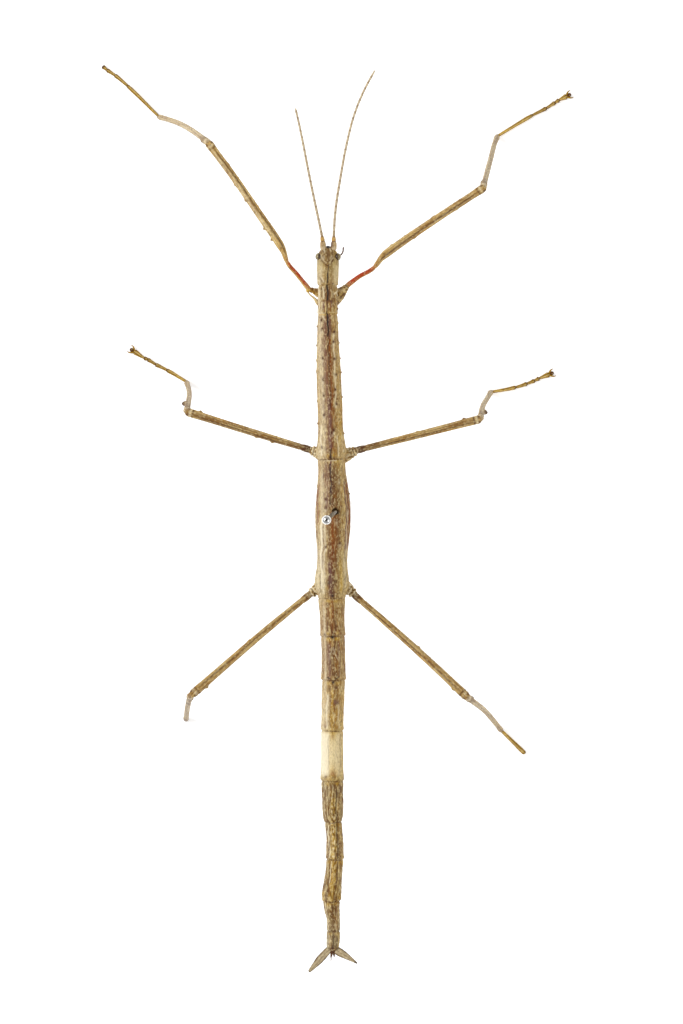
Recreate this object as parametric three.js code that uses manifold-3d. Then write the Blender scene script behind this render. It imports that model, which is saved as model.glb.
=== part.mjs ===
// A dried stick insect on its pin, life size: millimetres, +Z up, +Y towards the head, floor at z = 0.
import * as THREE from "three";
import { mergeVertices } from "three/addons/utils/BufferGeometryUtils.js";
import Module from "manifold-3d";

const wasm = await Module();
wasm.setup();

// Driving dimensions. A "heading" is in degrees from +Y, clockwise from above. A list of pairs is
// [place from 0 to 1, full width in mm] unless it says otherwise.
const FRONT_OF_HEAD = 32.2;
const BACK_HEIGHT_RATIO = 0.92;
const CENTRE_OF_BOX = { x: -0.49, y: 0.19 };

const TRUNK = [
  {
    name: "head",
    length: 4.8,
    widths: [[0, 1.5], [0.07, 2.05], [0.25, 2.45], [0.45, 2.7], [0.8, 2.55], [1, 2.05]],
  },
  { name: "prothorax", length: 3.5, widths: [[0, 2.15], [0.2, 2.5], [0.5, 2.65], [0.8, 2.55], [1, 2.3]] },
  {
    name: "mesothorax",
    length: 17.5,
    widths: [[0, 2.3], [0.2, 2.6], [0.45, 2.9], [0.7, 2.9], [0.82, 2.95], [0.9, 3.4], [0.96, 3.6], [1, 3.3]],
  },
  {
    name: "metathorax",
    length: 16.8,
    widths: [
      [0, 3.3], [0.06, 3.2], [0.2, 3.65], [0.38, 4.2], [0.5, 4.1],
      [0.73, 3.5], [0.85, 4.0], [0.94, 4.1], [1, 3.3],
    ],
  },
  { name: "abdomen_1", length: 4.6, widths: [[0, 3.25], [0.3, 3.0], [0.75, 2.9], [0.95, 3.0], [1, 2.85]] },
  { name: "abdomen_2", length: 5.3, widths: [[0, 2.8], [0.4, 2.8], [0.85, 2.85], [0.96, 2.95], [1, 2.75]] },
  { name: "abdomen_3", length: 6.1, widths: [[0, 2.7], [0.4, 2.65], [0.85, 2.6], [0.96, 2.7], [1, 2.5]] },
  { name: "abdomen_4", length: 6.1, widths: [[0, 2.55], [0.3, 2.6], [0.8, 2.65], [0.96, 2.75], [1, 2.55]] },
  { name: "abdomen_5", length: 5.0, widths: [[0, 2.55], [0.3, 2.5], [0.7, 2.45], [0.9, 2.4], [1, 2.0]] },
  { name: "abdomen_6", length: 4.5, widths: [[0, 1.95], [0.4, 1.95], [0.8, 2.0], [0.95, 2.1], [1, 1.95]] },
  { name: "abdomen_7", length: 5.1, widths: [[0, 1.95], [0.35, 2.0], [0.7, 2.2], [0.9, 2.35], [1, 2.05]] },
  { name: "abdomen_8", length: 3.6, widths: [[0, 1.95], [0.3, 1.8], [0.6, 1.55], [0.9, 1.55], [1, 1.5]] },
  { name: "abdomen_9", length: 3.0, widths: [[0, 1.5], [0.4, 1.5], [0.72, 1.4], [0.84, 1.0], [1, 0.4]] },
];

// How the line through the trunk wanders as it dried: [y, offset in mm].
const SWAY = [
  [-53, -1.13], [-49.8, -1.03], [-47, -1.26], [-41.6, -0.86], [-36, -1.1], [-27, -1.18], [-19, -1.02],
  [-10, -1.23], [0.5, -1.08], [7, -1.28], [13, -1.46], [20, -1.69], [32.2, -1.7],
];
const HEIGHT = [[-53.1, 15.9], [-40, 16.2], [-20, 16.5], [20, 16.5], [32.2, 16.4]];

const EYE = { x: 1.13, y: 30.85, rise: 0.3, halfWidth: 0.42, halfLength: 0.44, halfHeight: 0.42 };
const MOUTH = {
  y: 31.5,
  drop: 0.95,
  length: 1.9,
  width: 1.5,
  height: 1.1,
  swell: [[0, 0.6], [0.2, 0.95], [0.6, 1], [0.9, 0.8], [1, 0.45]],
};
const PALP = { start: [0.9, 30.9, -0.75], elbow: [1.72, 31.25, -0.5], tip: [1.86, 31.95, -0.2], width: 0.5 };

const ANTENNA_WIDTH = 0.5;
const ANTENNA_COLLAR_WIDTH = 0.65;
const ANTENNAE = [
  {
    name: "antenna_left",
    root: [-2.3, 31.3, 16.9],
    collar: [-2.35, 33.3, 17.3],
    bend: [-3.75, 40.4, 18.9],
    tip: [-5.55, 48.36, 20.6],
  },
  {
    name: "antenna_right",
    root: [-1.05, 31.3, 16.9],
    collar: [-0.95, 33.3, 17.3],
    bend: [-0.5, 45.2, 20.3],
    tip: [4.04, 52.66, 22.6],
  },
];
const ANTENNA_WIDTHS = [
  [0, ANTENNA_COLLAR_WIDTH], [0.09, ANTENNA_COLLAR_WIDTH], [0.13, ANTENNA_WIDTH], [1, ANTENNA_WIDTH],
];

const FOOT_HEIGHT = 0.18;
const FOOT_SEGMENT = [[0, 0.52], [0.8, 0.6], [0.97, 0.52]];
const CLAW = { length: 0.75, spread: 38, overlap: 0.15, widths: [[0, 0.5], [1, 0.3]] };
const FRONT_FEMUR_WIDTHS = [
  [0, 0.72], [0.05, 0.56], [0.19, 0.56], [0.25, 0.72], [0.31, 1.0],
  [0.6, 0.96], [0.88, 0.96], [0.96, 1.12], [1, 0.9],
];
const FEMUR_WIDTHS = [[0, 0.8], [0.08, 0.8], [0.3, 0.86], [0.8, 0.9], [0.93, 1.1], [1, 0.9]];
const TIBIA_WIDTHS = [[0, 0.86], [0.05, 0.76], [0.12, 0.64], [0.35, 0.56], [0.88, 0.54], [1, 0.6]];
const COXA_WIDTHS = [[0, 1.4], [0.45, 1.25], [0.7, 0.95], [0.85, 0.95], [1, 0.75]];

// "path" is the femur as lengths and headings, "reach" is how far the foot stands out from under the
// knee, "bow" is how far the shin bends to its right, and "turn" is how much the foot curls.
const LEGS = [
  {
    name: "front_left",
    hip: [-2.3, 25.65],
    coxa: { length: 2.25, heading: -50 },
    femur: { path: [[4.05, -39], [1.15, -17], [16.4, -34.6]], rise: 10.5, widths: FRONT_FEMUR_WIDTHS },
    tibia: { reach: 8.6, heading: -53, bow: 0.38, tooth: null },
    tarsus: { lengths: [5.5, 2.0, 1.15, 0.7], heading: -46.5, turn: -9, claws: false },
  },
  {
    name: "front_right",
    hip: [-0.95, 25.65],
    coxa: { length: 2.38, heading: 40.5 },
    femur: { path: [[3.87, 57.3], [1.48, 38], [15.4, 55.8]], rise: 10.5, widths: FRONT_FEMUR_WIDTHS },
    tibia: { reach: 8.4, heading: 16.4, bow: 0, tooth: null },
    tarsus: { lengths: [5.15, 1.9, 1.25, 0.6, 1.3], heading: 60.4, turn: 1, claws: true },
  },
  {
    name: "middle_left",
    hip: [-1.9, 6.75],
    coxa: { length: 2.14, heading: -67 },
    femur: { path: [[15.55, -72.8]], rise: -4, widths: FEMUR_WIDTHS },
    tibia: { reach: 4.0, heading: -6.8, bow: 0.2, tooth: { at: 0.3, side: -1 } },
    tarsus: { lengths: [3.2, 1.55, 1.2, 0.5, 1.5], heading: -59, turn: -2, claws: true },
  },
  {
    name: "middle_right",
    hip: [-0.5, 6.6],
    coxa: { length: 2.5, heading: 67.6 },
    femur: { path: [[15.55, 75.7]], rise: -4, widths: FEMUR_WIDTHS },
    tibia: { reach: 4.1, heading: 26, bow: -0.22, tooth: { at: 0.3, side: 1 } },
    tarsus: { lengths: [3.2, 1.5, 1.0, 0.6, 1.3], heading: 79, turn: -18, claws: true },
  },
  {
    name: "hind_left",
    hip: [-1.95, -8.6],
    coxa: { length: 2.34, heading: -124 },
    femur: { path: [[18.97, -130.3]], rise: 11.5, widths: FEMUR_WIDTHS },
    tibia: { reach: 4.25, heading: -161, bow: 0, tooth: null },
    tarsus: null,
  },
  {
    name: "hind_right",
    hip: [-0.45, -8.55],
    coxa: { length: 2.44, heading: 124.8 },
    femur: { path: [[18.6, 132.3]], rise: 11.5, widths: FEMUR_WIDTHS },
    tibia: { reach: 7.04, heading: 136.1, bow: -0.36, tooth: null },
    tarsus: { lengths: [4.2], heading: 133, turn: 0, claws: false },
  },
];
const HIP_HEIGHT = 15.3;
const FEMUR_SQUARENESS = 2.6;
const TOOTH = { length: 0.35, width: 0.5, sunk: 0.2 };

const CERCI = [
  { name: "cercus_left", root: [-1.58, -52.75], tip: [-3.88, -55.56], rise: -0.1 },
  { name: "cercus_right", root: [-0.62, -52.8], tip: [1.93, -54.6], rise: 0.1 },
];
const CERCUS_WIDTHS = [[0, 0.5], [0.15, 0.6], [0.5, 0.9], [0.8, 0.65], [1, 0.3]];
const CERCUS_THICKNESS = 0.5;
const OPERCULUM = { front: -47.6, back: -53.2, width: 1.3, height: 1.4, drop: 0.75 };

// The pin enters the back at "entry", and its head stands to the left of that, "top" above the floor.
// Its shaft is drawn "cutBelow" under the floor and cut level there.
const PIN = {
  entry: [-0.78, 0.12, 18.4],
  lean: 5.8,
  heading: -134,
  shaftWidth: 0.5,
  headWidth: 1.1,
  headHeight: 0.9,
  top: 33,
  cutBelow: 0.05,
};

// Colours of the outer surface, one material a node.
const TONE = {
  head: 0xa08f68,
  thorax: 0x9c7a55,
  abdomen: 0x9b8250,
  pale: 0xd8caa0,
  eye: 0x4b4630,
  leg: 0xa98a58,
  shin: 0xb9a585,
  feeler: 0xb89b6c,
  mouth: 0x6f5b3c,
  steel: 0xc9ccd2,
};

const TRUNK_TONES = {
  prothorax: TONE.thorax,
  mesothorax: TONE.thorax,
  metathorax: TONE.thorax,
  abdomen_4: TONE.pale,
};

// A smooth value between stops, each [place, value].
function between(stops, place) {
  const last = stops.length - 1;
  if (place <= stops[0][0]) return stops[0][1];
  if (place >= stops[last][0]) return stops[last][1];
  const right = stops.findIndex(([at]) => at > place);
  const left = right - 1;
  const slope = (i) => {
    const before = stops[Math.max(i - 1, 0)];
    const after = stops[Math.min(i + 1, last)];
    return (after[1] - before[1]) / (after[0] - before[0]);
  };
  const span = stops[right][0] - stops[left][0];
  const t = (place - stops[left][0]) / span;
  const hold = (1 + 2 * t) * (1 - t) ** 2;
  const reach = t * t * (3 - 2 * t);
  const leave = t * (1 - t) ** 2 * slope(left) * span;
  const arrive = t * t * (t - 1) * slope(right) * span;
  return hold * stops[left][1] + reach * stops[right][1] + leave + arrive;
}

// A closed tube through rings { at, along, wide, high }: a centre, a direction and full sizes.
// No point goes below the floor, so that a foot has a flat sole.
function loft(rings, sides, squareness = 2.2) {
  const geometry = new THREE.CylinderGeometry(1, 1, 1, sides, rings.length - 1);
  const places = geometry.getAttribute("position");
  const unit = new THREE.Vector3();
  const up = new THREE.Vector3(0, 0, 1);
  for (let i = 0; i < places.count; i++) {
    unit.fromBufferAttribute(places, i);
    const ring = rings[Math.round((unit.y + 0.5) * (rings.length - 1))];
    const across = new THREE.Vector3().crossVectors(ring.along, up).normalize();
    const above = new THREE.Vector3().crossVectors(across, ring.along).normalize();
    const rim = Math.hypot(unit.x, unit.z);
    const power = Math.abs(unit.x) ** squareness + Math.abs(unit.z) ** squareness;
    const swell = rim > 0 ? power ** (-1 / squareness) : 0;
    const point = ring.at
      .clone()
      .addScaledVector(across, unit.x * swell * (ring.wide / 2))
      .addScaledVector(above, unit.z * swell * (ring.high / 2));
    places.setXYZ(i, point.x, point.y, Math.max(point.z, 0));
  }
  geometry.computeVertexNormals();
  return geometry;
}

// Rings along a curve, with widths read from stops and a height that is a share of the width.
function ringsAlong(curve, places, widths, heightRatio = 1) {
  return places.map((place) => {
    const wide = between(widths, place);
    return { at: curve.getPointAt(place), along: curve.getTangentAt(place), wide, high: wide * heightRatio };
  });
}

const evenly = (count) => Array.from({ length: count + 1 }, (_, i) => i / count);

// Where the rings of a piece go: at each stop of its widths, and between stops that lie far apart.
function placesFor(stops, steps) {
  return stops.flatMap(([place], i) => {
    if (i === 0) return [place];
    const before = stops[i - 1][0];
    const parts = Math.max(1, Math.round((place - before) * steps));
    return evenly(parts).slice(1).map((share) => THREE.MathUtils.lerp(before, place, share));
  });
}

// Manifold solids, for cutting one piece by another and for joining small parts to a piece.
function solidOf(geometry) {
  const bare = geometry.clone();
  bare.deleteAttribute("normal");
  bare.deleteAttribute("uv");
  const merged = mergeVertices(bare, 1e-4);
  return new wasm.Manifold(
    new wasm.Mesh({
      numProp: 3,
      vertProperties: merged.getAttribute("position").array,
      triVerts: Uint32Array.from(merged.index.array),
    }),
  );
}

function geometryOf(solid) {
  const mesh = solid.getMesh();
  const geometry = new THREE.BufferGeometry();
  geometry.setAttribute("position", new THREE.BufferAttribute(mesh.vertProperties, 3));
  geometry.setIndex(new THREE.BufferAttribute(mesh.triVerts, 1));
  geometry.computeVertexNormals();
  return geometry;
}

const cut = (geometry, ...tools) =>
  geometryOf(tools.reduce((solid, tool) => solid.subtract(solidOf(tool)), solidOf(geometry)));
const join = (geometry, ...extras) =>
  geometryOf(extras.reduce((solid, extra) => solid.add(solidOf(extra)), solidOf(geometry)));

const headed = (degrees, length) => {
  const turn = THREE.MathUtils.degToRad(degrees);
  return new THREE.Vector3(Math.sin(turn) * length, Math.cos(turn) * length, 0);
};

const model = new THREE.Group();

function addNode(name, geometry, color, roughness = 0.7, metalness = 0) {
  const node = new THREE.Mesh(geometry, new THREE.MeshStandardMaterial({ color, roughness, metalness }));
  node.name = name;
  model.add(node);
}

// The trunk: the segments meet on flat faces across the body.
const TRUNK_SIDES = 14;
const TRUNK_STEP = 2.2;
const trunkShapes = {};

function trunkCentre(y) {
  return new THREE.Vector3(between(SWAY, y), y, between(HEIGHT, y));
}

function trunkSegment(segment, front) {
  const rings = placesFor(segment.widths, segment.length / TRUNK_STEP).map((place) => {
    const wide = between(segment.widths, place);
    return {
      at: trunkCentre(front - place * segment.length),
      along: new THREE.Vector3(0, 1, 0),
      wide,
      high: wide * BACK_HEIGHT_RATIO,
    };
  });
  return loft(rings.reverse(), TRUNK_SIDES);
}

let startY = FRONT_OF_HEAD;
for (const segment of TRUNK) {
  trunkShapes[segment.name] = trunkSegment(segment, startY);
  startY -= segment.length;
}

// The head's own parts: eyes in sockets, mouthparts under the front, and one palp that stands out.
function eyeShape(side) {
  const eye = new THREE.SphereGeometry(1, 12, 8);
  const centre = trunkCentre(EYE.y);
  eye.scale(EYE.halfWidth, EYE.halfLength, EYE.halfHeight);
  eye.translate(centre.x + side * EYE.x, EYE.y, centre.z + EYE.rise);
  return eye;
}

function mouthShape() {
  const centre = trunkCentre(MOUTH.y);
  const rings = MOUTH.swell.map(([place, size]) => ({
    at: new THREE.Vector3(centre.x, MOUTH.y + (place - 0.5) * MOUTH.length, centre.z - MOUTH.drop),
    along: new THREE.Vector3(0, 1, 0),
    wide: MOUTH.width * size,
    high: MOUTH.height * size,
  }));
  return loft(rings, 12);
}

function palpShape() {
  const centre = trunkCentre(PALP.start[1]);
  const points = [PALP.start, PALP.elbow, PALP.tip].map(
    ([x, y, z]) => new THREE.Vector3(centre.x + x, y, centre.z + z),
  );
  const widths = [[0, PALP.width], [1, PALP.width]];
  return loft(ringsAlong(new THREE.CatmullRomCurve3(points), evenly(5), widths), 8);
}

const eyes = { eye_left: eyeShape(-1), eye_right: eyeShape(1) };
const mouth = cut(mouthShape(), trunkShapes.head);
const palp = cut(palpShape(), trunkShapes.head, mouth, eyes.eye_right);
const head = cut(trunkShapes.head, eyes.eye_left, eyes.eye_right);

function antennaShape({ root, collar, bend, tip }) {
  const start = new THREE.Vector3(...root);
  const neck = new THREE.Vector3(...collar);
  const path = new THREE.CurvePath();
  path.add(new THREE.LineCurve3(start, neck));
  path.add(new THREE.QuadraticBezierCurve3(neck, new THREE.Vector3(...bend), new THREE.Vector3(...tip)));
  return loft(ringsAlong(path, placesFor(ANTENNA_WIDTHS, 7), ANTENNA_WIDTHS), 8);
}

addNode("head", head, TONE.head);
addNode("mouthparts", mouth, TONE.mouth);
addNode("palp_right", palp, TONE.mouth);
for (const [name, shape] of Object.entries(eyes)) addNode(name, shape, TONE.eye, 0.35);
for (const antenna of ANTENNAE) addNode(antenna.name, cut(antennaShape(antenna), head), TONE.feeler);

// The pin: a steel shaft with a round head, leaning, cut off at the floor.
function pinShape() {
  const entry = new THREE.Vector3(...PIN.entry);
  const sideways = headed(PIN.heading, Math.tan(THREE.MathUtils.degToRad(PIN.lean)));
  const at = (z) => entry.clone().addScaledVector(sideways, z - entry.z).setZ(z);
  const along = at(1).sub(at(0)).normalize();
  const ring = (z) => ({ at: at(z), along, wide: PIN.shaftWidth, high: PIN.shaftWidth });
  const middleOfHead = at(PIN.top - PIN.headHeight / 2);
  const shaft = loft([ring(-PIN.cutBelow), ring(middleOfHead.z)], 10, 2);
  const ball = new THREE.SphereGeometry(0.5, 12, 8);
  ball.scale(PIN.headWidth, PIN.headWidth, PIN.headHeight);
  ball.translate(middleOfHead.x, middleOfHead.y, middleOfHead.z);
  return join(shaft, ball);
}

const pin = pinShape();
const trunkNodes = { ...trunkShapes, metathorax: cut(trunkShapes.metathorax, pin) };
addNode("pin", pin, TONE.steel, 0.25, 1);

// The hind end: the operculum under the last segments and two leaf-shaped cerci.
function operculumShape() {
  const rings = evenly(5).map((place) => {
    const y = THREE.MathUtils.lerp(OPERCULUM.back, OPERCULUM.front, place);
    const swell = Math.sin(Math.PI * (0.12 + 0.76 * place)) ** 0.6;
    const centre = trunkCentre(y);
    return {
      at: centre.setZ(centre.z - OPERCULUM.drop),
      along: new THREE.Vector3(0, 1, 0),
      wide: OPERCULUM.width * swell,
      high: OPERCULUM.height * swell,
    };
  });
  return loft(rings, 8);
}

function cercusShape({ root, tip, rise }) {
  const start = new THREE.Vector3(root[0], root[1], trunkCentre(root[1]).z);
  const end = new THREE.Vector3(tip[0], tip[1], start.z + rise);
  const curve = new THREE.LineCurve3(start, end);
  const rings = ringsAlong(curve, placesFor(CERCUS_WIDTHS, 4), CERCUS_WIDTHS);
  return loft(rings.map((ring) => ({ ...ring, high: Math.min(CERCUS_THICKNESS, ring.wide) })), 8);
}

const operculum = cut(
  operculumShape(),
  trunkShapes.abdomen_7,
  trunkShapes.abdomen_8,
  trunkShapes.abdomen_9,
);
addNode("operculum", operculum, TONE.abdomen);
for (const cercus of CERCI) {
  addNode(cercus.name, cut(cercusShape(cercus), trunkShapes.abdomen_9, operculum), TONE.abdomen);
}

// The legs: each piece is cut by the one that it hinges on.
function tooth(at, direction) {
  const height = TOOTH.length + TOOTH.sunk;
  const spike = new THREE.ConeGeometry(TOOTH.width / 2, height, 8);
  spike.translate(0, height / 2 - TOOTH.sunk, 0);
  spike.applyQuaternion(new THREE.Quaternion().setFromUnitVectors(new THREE.Vector3(0, 1, 0), direction));
  return spike.translate(at.x, at.y, at.z);
}

function footShape({ lengths, heading, turn, claws }, start) {
  const total = lengths.reduce((sum, length) => sum + length, 0);
  const rings = [];
  const at = start.clone();
  let walked = 0;
  for (const length of lengths) {
    const along = headed(heading + (turn * walked) / total, 1);
    for (const [place, wide] of FOOT_SEGMENT) {
      rings.push({ at: at.clone().addScaledVector(along, length * place), along, wide, high: wide });
    }
    at.addScaledVector(along, length);
    walked += length;
  }
  const sole = loft(rings, 8);
  if (!claws) return sole;
  const hooks = [-1, 1].map((side) => {
    const direction = headed(heading + turn + side * CLAW.spread, 1);
    const base = at.clone().addScaledVector(direction, -CLAW.overlap);
    const end = base.clone().addScaledVector(direction, CLAW.length);
    return loft(ringsAlong(new THREE.LineCurve3(base, end), evenly(2), CLAW.widths), 6);
  });
  return join(sole, ...hooks);
}

// The femur's line from the end of the coxa: each stretch has a length and a heading, and all rise alike.
function femurCurve(start, { path, rise }) {
  const slope = THREE.MathUtils.degToRad(rise);
  const bends = [start];
  for (const [length, heading] of path) {
    const step = headed(heading, length * Math.cos(slope)).setZ(length * Math.sin(slope));
    bends.push(bends.at(-1).clone().add(step));
  }
  return bends.length > 2 ? new THREE.CatmullRomCurve3(bends) : new THREE.LineCurve3(...bends);
}

function tibiaCurve(knee, { reach, heading, bow }, footHeight) {
  const ankle = knee.clone().add(headed(heading, reach)).setZ(footHeight);
  const middle = knee.clone().lerp(ankle, 0.5).add(headed(heading + 90, 2 * bow));
  return new THREE.QuadraticBezierCurve3(knee, middle, ankle);
}

function tibiaShape(curve, { heading, tooth: spot }) {
  const shin = loft(ringsAlong(curve, placesFor(TIBIA_WIDTHS, 5), TIBIA_WIDTHS), 8);
  if (!spot) return shin;
  const outward = headed(heading + 90 * spot.side, 1);
  const half = between(TIBIA_WIDTHS, spot.at) / 2;
  return join(shin, tooth(curve.getPointAt(spot.at).addScaledVector(outward, half), outward));
}

function addLeg(leg, body) {
  const hip = new THREE.Vector3(leg.hip[0], leg.hip[1], HIP_HEIGHT);
  const coxaLine = new THREE.LineCurve3(hip, hip.clone().add(headed(leg.coxa.heading, leg.coxa.length)));
  const coxa = cut(loft(ringsAlong(coxaLine, placesFor(COXA_WIDTHS, 1), COXA_WIDTHS), 10), ...body);

  const femurLine = femurCurve(coxaLine.v2, leg.femur);
  const femurRings = ringsAlong(femurLine, placesFor(leg.femur.widths, 6), leg.femur.widths);
  const femur = cut(loft(femurRings, 8, FEMUR_SQUARENESS), coxa);

  const tibiaLine = tibiaCurve(femurLine.getPoint(1), leg.tibia, leg.tarsus ? FOOT_HEIGHT : 0);
  const tibia = cut(tibiaShape(tibiaLine, leg.tibia), femur);

  addNode(`${leg.name}_coxa`, coxa, TONE.leg);
  addNode(`${leg.name}_femur`, femur, TONE.leg);
  addNode(`${leg.name}_tibia`, tibia, TONE.shin);
  if (leg.tarsus) {
    addNode(`${leg.name}_tarsus`, cut(footShape(leg.tarsus, tibiaLine.v2), tibia), TONE.leg);
  }
}

for (const { name } of TRUNK.slice(1)) {
  addNode(name, trunkNodes[name], TRUNK_TONES[name] ?? TONE.abdomen);
}
const hipSegments = ["head", "prothorax", "mesothorax", "metathorax"].map((name) => trunkShapes[name]);
for (const leg of LEGS) addLeg(leg, hipSegments);

model.position.set(-CENTRE_OF_BOX.x, -CENTRE_OF_BOX.y, 0);

export default model;
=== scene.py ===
"""A dried stick insect on its pin: one skin for the trunk, shells for the limbs, eyes and a steel pin."""
import math
from functools import reduce
from itertools import accumulate

import bpy
import numpy as np
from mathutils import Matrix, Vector, noise


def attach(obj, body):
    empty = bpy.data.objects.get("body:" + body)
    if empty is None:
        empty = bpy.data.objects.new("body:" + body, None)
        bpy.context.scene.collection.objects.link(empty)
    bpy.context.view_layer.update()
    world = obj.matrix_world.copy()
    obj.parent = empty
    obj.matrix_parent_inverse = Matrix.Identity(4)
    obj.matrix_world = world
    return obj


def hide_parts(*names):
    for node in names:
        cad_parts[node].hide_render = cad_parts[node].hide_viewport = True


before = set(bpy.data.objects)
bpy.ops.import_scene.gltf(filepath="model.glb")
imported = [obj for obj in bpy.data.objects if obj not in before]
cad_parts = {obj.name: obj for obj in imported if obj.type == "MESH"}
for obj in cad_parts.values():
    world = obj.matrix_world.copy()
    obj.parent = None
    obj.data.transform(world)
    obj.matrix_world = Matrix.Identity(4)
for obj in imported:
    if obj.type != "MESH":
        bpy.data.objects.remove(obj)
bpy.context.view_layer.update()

MM = 0.001
BODY = "root"

# ---------------------------------------------------------------------------------------------------
# Sizes and places, in millimetres. A place along a piece is its distance from where the piece starts.
# "widths" are pairs (share of the length, full width).

TRUNK = (
    ("head", 4.8, ((0, 0.7), (0.05, 1.6), (0.14, 2.1), (0.25, 2.3), (0.45, 2.68), (0.62, 2.66),
                   (0.8, 2.58), (0.93, 2.52), (1, 2.35))),
    ("prothorax", 3.5, ((0, 2.25), (0.15, 2.36), (0.3, 2.4), (0.5, 2.42), (0.8, 2.45), (1, 2.35))),
    ("mesothorax", 17.5, ((0, 2.3), (0.06, 2.42), (0.2, 2.55), (0.45, 2.9), (0.7, 2.9), (0.82, 2.98),
                          (0.9, 3.35), (0.96, 3.7), (1, 3.3))),
    ("metathorax", 16.8, ((0, 3.3), (0.06, 3.2), (0.2, 3.65), (0.38, 4.2), (0.5, 4.1), (0.73, 3.5),
                          (0.81, 3.8), (0.88, 4.1), (0.92, 3.95), (0.955, 3.5), (1, 3.2))),
    ("abdomen_1", 4.6, ((0, 3.2), (0.3, 3.0), (0.75, 2.9), (0.93, 3.0), (1, 2.85))),
    ("abdomen_2", 5.3, ((0, 2.8), (0.4, 2.8), (0.85, 2.85), (0.95, 2.98), (1, 2.75))),
    ("abdomen_3", 6.1, ((0, 2.7), (0.4, 2.65), (0.85, 2.6), (0.94, 2.75), (1, 2.5))),
    ("abdomen_4", 6.1, ((0, 2.55), (0.3, 2.6), (0.8, 2.65), (0.94, 2.8), (1, 2.55))),
    ("abdomen_5", 5.0, ((0, 2.55), (0.3, 2.5), (0.7, 2.45), (0.88, 2.4), (1, 1.95))),
    ("abdomen_6", 4.5, ((0, 1.95), (0.4, 1.95), (0.8, 2.05), (0.93, 2.15), (1, 1.9))),
    ("abdomen_7", 5.1, ((0, 1.95), (0.35, 2.0), (0.7, 2.2), (0.88, 2.38), (1, 2.0))),
    ("abdomen_8", 3.6, ((0, 1.95), (0.3, 1.8), (0.6, 1.55), (0.9, 1.5), (1, 1.45))),
    ("abdomen_9", 2.3, ((0, 1.5), (0.4, 1.54), (0.75, 1.5), (0.92, 1.3), (1, 1.05))),
)
TRUNK_LINE = (
    (-1.21, 32.01, 16.4), (-1.2, 19.8, 16.5), (-0.97, 12.8, 16.5), (-0.79, 6.8, 16.5), (-0.59, 0.3, 16.5),
    (-0.74, -10.2, 16.5), (-0.53, -19.2, 16.5), (-0.69, -27.2, 16.4), (-0.61, -36.2, 16.3),
    (-0.37, -41.8, 16.2), (-0.77, -47.2, 16.05), (-0.54, -50.0, 16.0), (-0.64, -53.2, 15.9),
)

# Depth of the trunk as a share of its width, for the head and for the rest, and where one becomes the other.
HEAD_DEPTH_RATIO, BACK_HEIGHT_RATIO = 0.82, 0.92
NECK = (4.2, 5.2)

# ---------------------------------------------------------------------------------------------------
# Modelling by operators

def clear_selection():
    bpy.ops.object.select_all(action="DESELECT")


def finish_modifier(piece, kind, **settings):
    """Adds one modifier to a piece and applies it."""
    bpy.context.view_layer.objects.active = piece
    modifier = piece.modifiers.new(kind.lower(), kind)
    for name, value in settings.items():
        setattr(modifier, name, value)
    bpy.ops.object.modifier_apply(modifier=modifier.name)


def grow_tube(name, rings, sides):
    """A closed tube along +X. A ring is (place, width, height) and, if off the axis, its rise too."""
    clear_selection()
    place, wide, high, rise = (*rings[0], 0)[:4]
    middle = Vector((place, 0, rise)) * MM
    kept_by_subdivision = (2 + math.cos(2 * math.pi / sides)) / 3
    bpy.ops.mesh.primitive_circle_add(
        vertices=sides, radius=MM / 2 / kept_by_subdivision, fill_type="NGON",
        location=middle, rotation=(0, math.pi / 2, 0),
    )
    piece = bpy.context.object
    piece.name = piece.data.name = name
    bpy.ops.object.mode_set(mode="EDIT")
    bpy.ops.transform.resize(value=(1, wide, high), center_override=middle)
    for ring in rings[1:]:
        place, next_wide, next_high, rise = (*ring, 0)[:4]
        step = Vector((place, 0, rise)) * MM - middle
        middle += step
        bpy.ops.mesh.extrude_region_move(TRANSFORM_OT_translate={"value": step})
        bpy.ops.transform.resize(value=(1, next_wide / wide, next_high / high), center_override=middle)
        wide, high = next_wide, next_high
    bpy.ops.mesh.select_all(action="SELECT")
    bpy.ops.mesh.normals_make_consistent(inside=False)
    bpy.ops.object.mode_set(mode="OBJECT")
    bpy.ops.object.transform_apply(location=True, rotation=True, scale=True)
    return piece


def smooth_curve(stops, places):
    """Values at places, on a smooth line through (place, value) stops."""
    at, value = np.array(stops, float).T
    secants = np.diff(value) / np.diff(at)
    before, after = np.append(secants[0], secants), np.append(secants, secants[-1])
    level = before * after <= 0
    slopes = np.where(level, 0, 2 * before * after / np.where(level, 1, before + after))
    i = np.clip(np.searchsorted(at, places, side="right") - 1, 0, len(at) - 2)
    span = at[i + 1] - at[i]
    t = np.clip((places - at[i]) / span, 0, 1)
    keep, reach = (1 + 2 * t) * (1 - t) ** 2, t * t * (3 - 2 * t)
    leave, arrive = t * (1 - t) ** 2 * slopes[i], t * t * (t - 1) * slopes[i + 1]
    return keep * value[i] + reach * value[i + 1] + (leave + arrive) * span


def length_of(points):
    return sum(math.dist(a, b) for a, b in zip(points, points[1:]))


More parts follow.
